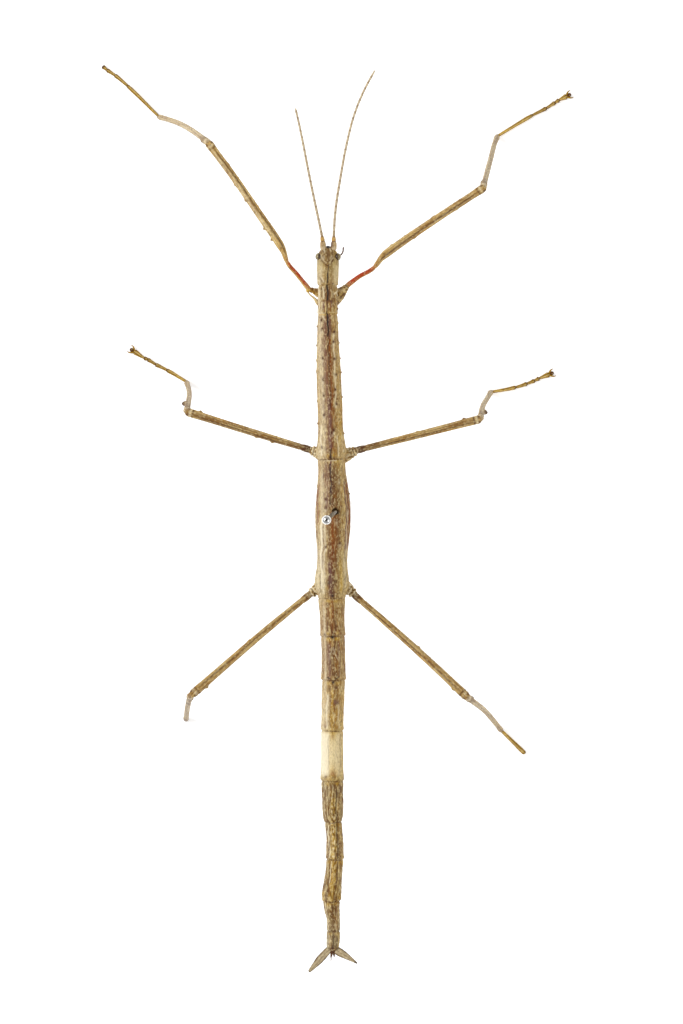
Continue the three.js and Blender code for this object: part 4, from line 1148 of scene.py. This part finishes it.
# Rings past the end of a tail leaf's widths. The right one is drawn out to a point.
LEAF_ENDS = {
    "tail_leaf_left": ((0.1, 0.22, 0.2), (0.14, 0.08, 0.08)),
    "tail_leaf_right": ((0.08, 0.16, 0.16), (0.25, 0.08, 0.09), (0.33, 0.03, 0.03)),
}
OPERCULUM_RINGS = ((0, 0.7, 0.5), (0.12, 1.0, 0.85), (0.4, 1.15, 1.05), (0.7, 1.05, 0.95), (0.9, 0.75, 0.6),
                   (1, 0.4, 0.3))
OPERCULUM_LINE = ((-0.5, -47.4, 15.25), (-0.72, -50.2, 15.15), (-0.65, -53.5, 15.2))
TAIL_TIPS = (((-0.72, -53.3, 16.0), (-0.8, -53.8, 15.85), (-0.86, -54.25, 15.7)),
             ((-0.5, -53.2, 16.0), (-0.48, -53.6, 15.85), (-0.46, -53.9, 15.72)))
TAIL_TIP_RINGS = ((-0.1, 0.3, 0.3), (0.0, 0.4, 0.4), (0.45, 0.3, 0.3), (0.8, 0.17, 0.17), (0.95, 0.06, 0.06))
OVIPOSITOR_LINE = ((-0.82, -54.1, 15.72), (-0.86, -54.7, 15.6))
OVIPOSITOR_RINGS = ((0, 0.12, 0.12), (0.3, 0.11, 0.11), (0.55, 0.05, 0.05))
PIN_FOOT, PIN_TOP = (1.05, 1.23, 0.0), (-1.32, -1.07, 32.55)
PIN_WIDTH, PIN_HEAD_WIDTH, PIN_HEAD_HEIGHT = 0.46, 1.1, 0.9
COLLAR_WIDTH, COLLAR_HEIGHT, COLLAR_BELOW_TOP, COLLAR_BEVEL = 0.6, 0.25, 0.5, 0.08


def make_eye(name, x, y, z, side):
    clear_selection()
    bpy.ops.mesh.primitive_uv_sphere_add(segments=40, ring_count=24, radius=MM, rotation=(0, math.pi / 2, 0))
    piece = bpy.context.object
    piece.name = piece.data.name = name
    bpy.ops.object.transform_apply(rotation=True)
    bpy.ops.object.mode_set(mode="EDIT")
    bpy.ops.mesh.select_all(action="SELECT")
    bpy.ops.transform.resize(value=EYE_SIZES, center_override=(0, 0, 0))
    bpy.ops.object.mode_set(mode="OBJECT")
    places = places_on(piece)
    out, along = places[0] * side, places[1]
    crescent = past(0.1 - 0.7 * along * along, out, 0.035)
    edge = np.hypot(out / EYE_SIZES[0], along / EYE_SIZES[1])
    crescent = np.clip(crescent + 0.6 * past(edge, 0.92, 0.03) + 0.4 * bump(along + 0.32, 0.08), 0, 1)
    paint(piece, "dark", crescent)
    paint(piece, "streak", speckle(places, (0.5, 0.09, 0.09), 31))
    bpy.ops.object.mode_set(mode="EDIT")
    bpy.ops.mesh.select_all(action="SELECT")
    bpy.ops.transform.translate(value=Vector((x, y, z)) * MM)
    bpy.ops.object.mode_set(mode="OBJECT")
    return piece


def make_mouthparts():
    return small_limb("jaws", MOUTH_RINGS, MOUTH_LINE, 14, dark=0.35, gold=0.3)


def make_palp():
    length = length_of(PALP_LINE)
    joints = [(share * length, wide, 0.2) for share, wide in PALP_WIDTHS]
    rings = [(-0.04, 0.1, 0.1), (0, 0.2, 0.2), *joints, (length, 0.1, 0.1)]
    return small_limb("mouth_feeler", rings, PALP_LINE, dark=0.9)


def make_feeler(name, points):
    """A thick first joint, a short second one, then many thin joints that taper to the tip."""
    length = length_of(points)
    rings = [(at, wide, wide) for at, wide in FEELER_BASE]
    at, joint = FEELER_BASE[-1][0], FIRST_JOINT
    joint_ends = []
    while at + joint < length - 0.2:
        wide = FEELER_WIDTH - FEELER_TAPER * at / length
        rings += [(at + joint * share, wide * full, wide * full) for share, full in FEELER_JOINT_RINGS]
        joint_ends.append(rings[-1][0])
        at += joint
        joint = FEELER_JOINT
    rings += [(length - 0.06, 0.2, 0.2), (length, 0.06, 0.06)]
    piece, places, _ = start_shell(name, rings, 10, 1)
    s, across = places[:2]
    near = np.abs(s[:, None] - np.array(joint_ends)).min(axis=1)
    speck = speckle(places, (0.5, 0.2, 0.2), 33)
    inner = past(across, 0.02, 0.02) if name.endswith("right") else bump(across - 0.05, 0.07)
    thin = s > THIN_JOINTS_FROM
    dark = 0.5 * bump(near, 0.06) * thin + 0.9 * within(s, 0.2, 1.0, 0.08) * inner * (0.4 + speck)
    dark = dark + 0.8 * bump(s - 1.04, 0.05) + 0.8 * bump(s - 1.64, 0.05)
    paint_shell(
        piece,
        dark=np.maximum(dark, 0.3 * speck * thin),
        pale=0.5 * (s > 2) * (1 - bump(near, 0.12)) + 0.4 * bump(s - 0.2, 0.2),
        gold=0.95 * within(s, 1.05, 1.6, 0.04) + 0.3 * (s < 1),
        rust=0.25 * speck,
    )
    lay_along(piece, points)
    return piece


def make_tail_leaf(name, points):
    length = length_of(points)
    right = name.endswith("right")
    stops = [(share * length, wide) for share, wide in LEAF_WIDTHS[name]]
    along = np.linspace(0, length, 14)
    rings = [(-0.08, 0.15, 0.12)]
    rings += [(at, wide, LEAF_THICKNESS) for at, wide in zip(along, smooth_curve(stops, along))]
    rings += [(length + away, wide, high) for away, wide, high in LEAF_ENDS[name]]
    piece, places, turn = start_shell(name, rings, 14)
    around = np.abs(turn)
    height = 0.05 * bump(turn, 0.06) - 0.06 * bump(around - 0.2, 0.1) + 0.05 * bump(around - 0.42, 0.06)
    push_out(piece, height + 0.02 * grain(places, (0.4, 0.15, 0.15), 35))
    speck = speckle(places, (0.5, 0.14, 0.14), 36)
    edges = 0.95 * bump(around - 0.44, 0.07) * (0.5 + speck)
    end = past(places[0], length - 0.1, 0.08) * (0.9 if right else 0.45)
    paint_shell(
        piece,
        shade=0.62,
        dark=np.maximum(edges, end),
        pale=0.35 * bump(around - 0.22, 0.16) * (0.1 + 1.2 * speck),
        gold=0.3 * speck,
    )
    lay_along(piece, (*points, RIGHT_LEAF_TIP) if right else points)
    return piece


def make_operculum():
    length = length_of(OPERCULUM_LINE)
    middle = [(share * length, wide, high) for share, wide, high in OPERCULUM_RINGS]
    rings = [(-0.06, 0.2, 0.15), *middle, (length + 0.05, 0.12, 0.1)]
    piece, places, turn = start_shell("egg_plate", rings, 14)
    push_out(piece, 0.08 * bump(np.abs(turn) - 1, 0.07) + 0.03 * grain(places, (1.0, 0.2, 0.2), 37))
    speck = speckle(places, (0.8, 0.2, 0.2), 38)
    paint_shell(piece, shade=0.3, dark=0.5 * speck, gold=0.6 * speck, rust=0.2 * speck)
    lay_along(piece, OPERCULUM_LINE)
    return piece


def make_tail_tips():
    tips = [small_limb("tip", TAIL_TIP_RINGS, line, dark=1.0, shade=1.0) for line in TAIL_TIPS]
    tips.append(small_limb("tip", OVIPOSITOR_RINGS, OVIPOSITOR_LINE, 8, 1, dark=1.0, shade=1.0))
    return join(tips, "tail_tips")


def make_pin():
    """A leaning shaft, cut level at its foot, with a short collar under a flattened ball."""
    foot, top = Vector(PIN_FOOT), Vector(PIN_TOP)
    lean = (top - foot).normalized()
    turn = Vector((0, 0, 1)).rotation_difference(lean).to_euler()
    length = (top - foot).length
    clear_selection()
    bpy.ops.mesh.primitive_cylinder_add(
        vertices=48, radius=PIN_WIDTH / 2 * MM, depth=(length + 1) * MM,
        location=(foot + lean * (length - 1) / 2) * MM, rotation=turn,
    )
    shaft = bpy.context.object
    bpy.ops.object.transform_apply(location=True, rotation=True)
    bpy.ops.object.mode_set(mode="EDIT")
    bpy.ops.mesh.select_all(action="SELECT")
    bpy.ops.mesh.bisect(plane_co=(0, 0, 0), plane_no=(0, 0, 1), use_fill=True, clear_inner=True)
    bpy.ops.object.mode_set(mode="OBJECT")
    clear_selection()
    bpy.ops.mesh.primitive_cylinder_add(
        vertices=48, radius=COLLAR_WIDTH / 2 * MM, depth=COLLAR_HEIGHT * MM,
        location=(top - lean * COLLAR_BELOW_TOP) * MM, rotation=turn,
    )
    collar = bpy.context.object
    finish_modifier(collar, "BEVEL", width=COLLAR_BEVEL * MM, segments=4)
    clear_selection()
    bpy.ops.mesh.primitive_uv_sphere_add(
        segments=56, ring_count=32, radius=MM / 2, location=top * MM, rotation=turn
    )
    ball = bpy.context.object
    ball.scale = (PIN_HEAD_WIDTH, PIN_HEAD_WIDTH, PIN_HEAD_HEIGHT)
    pin = join([shaft, collar, ball], "steel_pin")
    bpy.ops.object.transform_apply(location=True, rotation=True, scale=True)
    x, y, z = places_on(pin)
    # Painted reflection: a dark spot on top of the ball, where the camera shows in the steel.
    paint(pin, "crown", bump(np.hypot(x - PIN_TOP[0], y - PIN_TOP[1]), 0.17) * (z > PIN_TOP[2]))
    return pin


# ---------------------------------------------------------------------------------------------------
# Finishes

BLACK, DARK, PLUM = colour(24, 18, 26), colour(88, 54, 36), colour(124, 92, 88)
RUST, GOLD, CREAM = colour(142, 84, 40), colour(208, 172, 92), colour(252, 240, 208)

# Tones of the trunk from face to tail, as (place in mm, tone): along its flanks and along its middle.
FLANK_TONES = (
    (0, (164, 140, 92)), (2.5, (200, 180, 128)), (6, (196, 166, 112)), (12, (196, 166, 114)),
    (24, (204, 174, 116)), (27, (198, 170, 116)), (34, (194, 166, 114)), (41, (202, 178, 120)),
    (44, (184, 150, 100)), (49, (178, 148, 106)), (55, (200, 168, 110)), (58, (216, 188, 126)),
    (61, (230, 214, 164)), (64.0, (218, 194, 138)), (65.2, (170, 150, 112)), (72, (188, 160, 112)),
    (77, (186, 162, 116)), (81.2, (174, 148, 102)), (83, (160, 146, 112)), (85.2, (154, 140, 108)),
)
MIDDLE_TONES = (
    (0, (124, 96, 62)), (2.5, (154, 130, 84)), (6, (144, 112, 74)), (12, (144, 106, 70)),
    (24, (142, 106, 72)), (27, (132, 100, 64)), (34, (118, 78, 44)), (41, (126, 94, 64)),
    (44, (152, 118, 74)), (49, (116, 84, 56)), (55, (156, 122, 74)), (58, (190, 156, 94)),
    (61, (230, 206, 138)), (64.0, (206, 176, 114)), (65.2, (136, 114, 78)), (72, (150, 124, 78)),
    (77, (150, 124, 80)), (81.2, (146, 118, 72)), (83, (128, 108, 74)), (85.2, (118, 98, 66)),
)


def tone_stops(tones):
    return tuple((place / TRUNK_LENGTH, colour(*tone)) for place, tone in tones)


# Long broken streaks: (width in mm, seed, stretch, noise where one starts, noise where it is full, amount, tone).
STREAKS = (
    (0.6, 3.1, 1.0, 0.48, 0.66, 0.55, colour(180, 126, 52)),
    (0.34, 17.7, 1.2, 0.5, 0.62, 0.5, colour(116, 66, 44)),
    (0.32, 41.3, 1.2, 0.5, 0.64, 0.5, colour(246, 226, 170)),
    (0.13, 63.9, 1.6, 0.5, 0.6, 0.5, colour(92, 52, 26)),
    (0.13, 88.2, 1.6, 0.52, 0.62, 0.42, colour(252, 234, 180)),
)


def mottled(look, place, tone, strength, along=0.5):
    """Long broken streaks of ochre, brown and cream along a piece."""
    for width, seed, stretch, start, full, amount, above in STREAKS:
        scale, shift = (along * stretch, 1 / width, 1 / width), (seed, seed, seed)
        moved = look.node("ShaderNodeVectorMath", {"operation": "MULTIPLY_ADD"}, place, scale, shift)
        streak = look.noise(moved, 1.0, 4, 0.62).step(start, full)
        tone = look.mix(streak * amount * strength, tone, above)
    return tone


def granular(look, place, tone, strength):
    """Granules of cream and brown over a tone, darker between them."""
    grains = look.node("ShaderNodeTexVoronoi", {"feature": "F1"}, look.stretched(place, (4.2, 7.0, 7.0)), 1.0)
    to_cream, to_brown = look.parts(look.node_output(grains, "Color"))[:2]
    tone = look.mix(grains.step(0.4, 0.75) * 0.3 * strength, tone, colour(86, 50, 26))
    tone = look.mix(to_cream.step(0.74, 0.82) * 0.45 * strength, tone, colour(254, 238, 192))
    return look.mix(to_brown.step(0.76, 0.84) * 0.5 * strength, tone, colour(88, 48, 28))


def painted(look, tone, layers):
    """Lays painted layers over a tone, each as strong as its attribute says."""
    for layer, above in layers:
        tone = look.mix(look.layer(layer), tone, above)
    return tone


def fine_relief(look, place, depth):
    """Fine wrinkles along the piece, shallow pits between them, and a sheen that varies."""
    rough = look.noise(look.stretched(place, (1.6, 6.0, 6.0)), 1.0, 4, 0.62)
    pits = look.node("ShaderNodeTexVoronoi", {"feature": "F1"}, look.stretched(place, (5.0, 8.0, 8.0)), 1.0)
    look.relief(rough * 1.4 + pits * 0.5, depth)
    look.set("Roughness", look.noise(look.stretched(place, (1.5, 3, 3)), 1.0, 2).step(0.2, 0.8) * 0.25 + 0.36)


def body_look():
    look = Look("dried_body_skin", 0.46, Specular_IOR_Level=0.22)
    place = look.place()
    along, across, above = look.parts(place)
    shift = look.noise(place, 0.9, 3) - 0.5
    at = (along + shift * 1.2) / TRUNK_LENGTH
    flank = look.ramp(at, *tone_stops(FLANK_TONES))
    middle = look.ramp(at, *tone_stops(MIDDLE_TONES))
    amount = (across + shift * 0.5 - 0.05).size().step(0.05, 1.15)
    tone = look.mix(amount, middle, flank)
    # Painted shade: the underside of the trunk is painted a darker brown.
    tone = look.mix(above.step(-0.7, 0.15), colour(112, 88, 58), tone)
    thorax = along.step(4.2, 6.0)
    tone = mottled(look, place, tone, thorax * 0.4 + 0.4)
    layers = (("gold", GOLD), ("rust", RUST), ("pale", CREAM), ("plum", PLUM), ("dark", DARK))
    tone = painted(look, tone, layers)
    grain_strength = (thorax * 0.15 + 0.5) * (1 - look.layer("pale") * 0.9) * (1 - look.layer("rust") * 0.5)
    tone = granular(look, place, tone, grain_strength)
    tone = painted(look, tone, (("black", BLACK),))
    # Painted shade: the middle and right of the trunk, away from the key light, are painted darker and more
    # saturated.
    painted_shade_side = across.step(-1.1, -0.1)
    colourful = painted_shade_side * 0.12 + along.step(62, 66) * 0.08 - along.step(79, 84) * 0.14 + 0.98
    tone = look.node("ShaderNodeHueSaturation", {}, None, colourful, None, None, tone)
    tone = look.node("ShaderNodeGamma", {}, tone, painted_shade_side * 0.1 + 1.0)
    look.set("Base Color", tone)
    fine_relief(look, place, 0.085)
    return look.material


def leg_look(name, light, deep, saturation):
    """A limb's shell, from a light tone to a deep one as its shade layer says."""
    look = Look(name, 0.42, Specular_IOR_Level=0.22)
    place = look.place()
    base = look.mix(look.layer("shade"), light, deep)
    tone = painted(look, base, (("gold", GOLD), ("pale", CREAM)))
    tone = mottled(look, place, tone, 0.6, 0.22)
    tone = painted(look, tone, (("dark", colour(84, 56, 38)), ("rust", colour(172, 72, 60))))
    tone = granular(look, place, tone, 0.45)
    tone = look.node("ShaderNodeHueSaturation", {}, None, saturation, None, None, tone)
    look.set("Base Color", tone)
    fine_relief(look, place, 0.07)
    return look.material


def thin_look(name, tone, along, layers, grains, depth):
    """The thin skin of the feelers and the tail leaves."""
    look = Look(name, 0.45, Specular_IOR_Level=0.2)
    place = look.place()
    tone = mottled(look, place, tone, 0.5, along)
    tone = painted(look, tone, layers)
    tone = granular(look, place, tone, grains)
    look.set("Base Color", tone)
    fine_relief(look, place, depth)
    return look.material


def eye_look():
    look = Look("eye_glaze", 0.28, Specular_IOR_Level=0.35, Coat_Weight=0.2, Coat_Roughness=0.1)
    place = look.place()
    tone = look.mix(look.layer("streak").step(0.35, 0.6) * 0.9, colour(196, 180, 134), colour(104, 86, 50))
    tone = look.mix(look.layer("dark"), tone, colour(64, 46, 28))
    look.set("Base Color", tone)
    cells = look.node("ShaderNodeTexVoronoi", {"feature": "F1"}, place, 22.0)
    look.relief(cells, 0.008)
    return look.material


def steel_look():
    look = Look("pin_finish", 0.22, Metallic=1.0)
    place = look.place()
    above = look.parts(place)[2]
    wear = look.noise(place, 1.6, 4, 0.6)
    tone = look.mix(wear.step(0.45, 0.7) * 0.5, colour(232, 232, 230), colour(176, 172, 164))
    low = 1 - above.step(PIN_TOP[2] - 0.6, PIN_TOP[2] - 0.45)
    tone = look.mix(low * 0.95, tone, look.mix(wear.step(0.4, 0.6), colour(66, 54, 38), colour(120, 106, 82)))
    # Painted reflection: the dark spot on top of the ball.
    tone = look.mix(look.layer("crown") * 1.2, tone, colour(70, 66, 62))
    look.set("Base Color", tone)
    look.set("Roughness", wear * 0.25 + 0.1)
    return look.material


def floor_look():
    look = Look("pale_card", 0.85, Emission_Color=(1, 1, 1, 1), Emission_Strength=0.4)
    place = look.node("ShaderNodeTexCoord", {}, output=3)
    tone = look.mix(look.noise(place, 60.0, 3) * 0.3, colour(252, 252, 252), colour(249, 249, 249))
    look.set("Base Color", tone)
    return look.material


# ---------------------------------------------------------------------------------------------------
# Putting the insect together

def finish(piece, look, slot, *nodes):
    """Gives a piece its finish and its body, and hides the nodes it replaces, if any. The slot is not used."""
    piece.data.materials.clear()
    piece.data.materials.append(look)
    clear_selection()
    piece.select_set(True)
    bpy.context.view_layer.objects.active = piece
    bpy.ops.object.shade_smooth()
    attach(piece, BODY)
    if nodes:
        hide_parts(*nodes)


body, glaze, steel = body_look(), eye_look(), steel_look()
feeler_shell = thin_look(
    "feeler_shell", colour(190, 168, 130), 0.5,
    (("gold", colour(202, 158, 76)), ("pale", CREAM), ("rust", RUST), ("dark", DARK)), 0.35, 0.03,
)
leaf = thin_look(
    "tail_leaf_skin", colour(170, 152, 118), 0.4,
    (("gold", GOLD), ("pale", colour(226, 218, 194)), ("dark", colour(84, 66, 48))), 0.5, 0.05,
)
leg_shell = leg_look("dried_leg_shell", colour(216, 182, 124), colour(136, 104, 64), 1.14)
foot_shell = leg_look("dried_foot_shell", colour(214, 184, 126), colour(136, 104, 64), 1.3)
shin_shell = leg_look("dried_shin_shell", colour(206, 184, 146), colour(158, 130, 98), 1.05)

finish(make_trunk(), body, "body_cuticle", *BORDERS)
finish(make_mouthparts(), feeler_shell, "feeler_cuticle", "mouthparts")
finish(make_palp(), feeler_shell, "feeler_cuticle", "palp_right")
for name, where in EYES.items():
    finish(make_eye(name, *where), glaze, "eye", name.replace("bead_", ""))
for name, line in FEELERS.items():
    finish(make_feeler(name, line), feeler_shell, "feeler_cuticle", name.replace("feeler", "antenna"))
for name, line in CERCI.items():
    finish(make_tail_leaf(name, line), leaf, "body_cuticle", name.replace("tail_leaf", "cercus"))
finish(make_operculum(), leg_shell, "body_cuticle", "operculum")
finish(make_tail_tips(), leg_shell, "body_cuticle")
finish(make_pin(), steel, "pin_steel", "pin")

LIMBS = {
    "coxa": (make_coxa, leg_shell), "femur": (make_femur, leg_shell),
    "tibia": (make_tibia, shin_shell), "tarsus": (make_tarsus, foot_shell),
}
for leg, lines in LEGS.items():
    for part, line in lines.items():
        if line:
            make, shell = LIMBS[part]
            if (leg, part) == ("front_left", "coxa"):
                shell = foot_shell
            finish(make(leg, line), shell, "leg_cuticle", f"{leg}_{part}")

# ---------------------------------------------------------------------------------------------------
# Floor, light and camera

FLOOR_SIZE, FLOOR_DROP = 6.0, 0.00002
CAMERA_PLACE, CAMERA_LENS = (0.00043, -0.00014, 0.467), 131.0
clear_selection()
bpy.ops.mesh.primitive_plane_add(size=FLOOR_SIZE, location=(0, 0, -FLOOR_DROP))
floor = bpy.context.object
floor.name = "floor"
floor.data.materials.append(floor_look())


def area_light(name, place, energy, size):
    """A soft square light that faces the middle of the insect."""
    lamp = bpy.data.lights.new(name, "AREA")
    lamp.energy, lamp.size = energy, size
    light = bpy.data.objects.new(name, lamp)
    light.location = place
    light.rotation_euler = (-Vector(place)).to_track_quat("-Z", "Y").to_euler()
    bpy.context.scene.collection.objects.link(light)


area_light("key_light", (-0.5, 0.15, 0.55), 3.4, 0.3)
area_light("fill_light", (0.5, -0.25, 0.6), 1.9, 0.5)
world = bpy.data.worlds.new("studio")
world.use_nodes = True
world.node_tree.nodes["Background"].inputs["Color"].default_value = (1, 1, 1, 1)
world.node_tree.nodes["Background"].inputs["Strength"].default_value = 0.42
bpy.context.scene.world = world
bpy.context.scene.view_settings.view_transform = "Standard"

camera = bpy.data.objects.new("camera", bpy.data.cameras.new("camera"))
camera.data.lens = CAMERA_LENS
camera.data.clip_start = 0.01
camera.location = CAMERA_PLACE
bpy.context.scene.collection.objects.link(camera)
bpy.context.scene.camera = camera
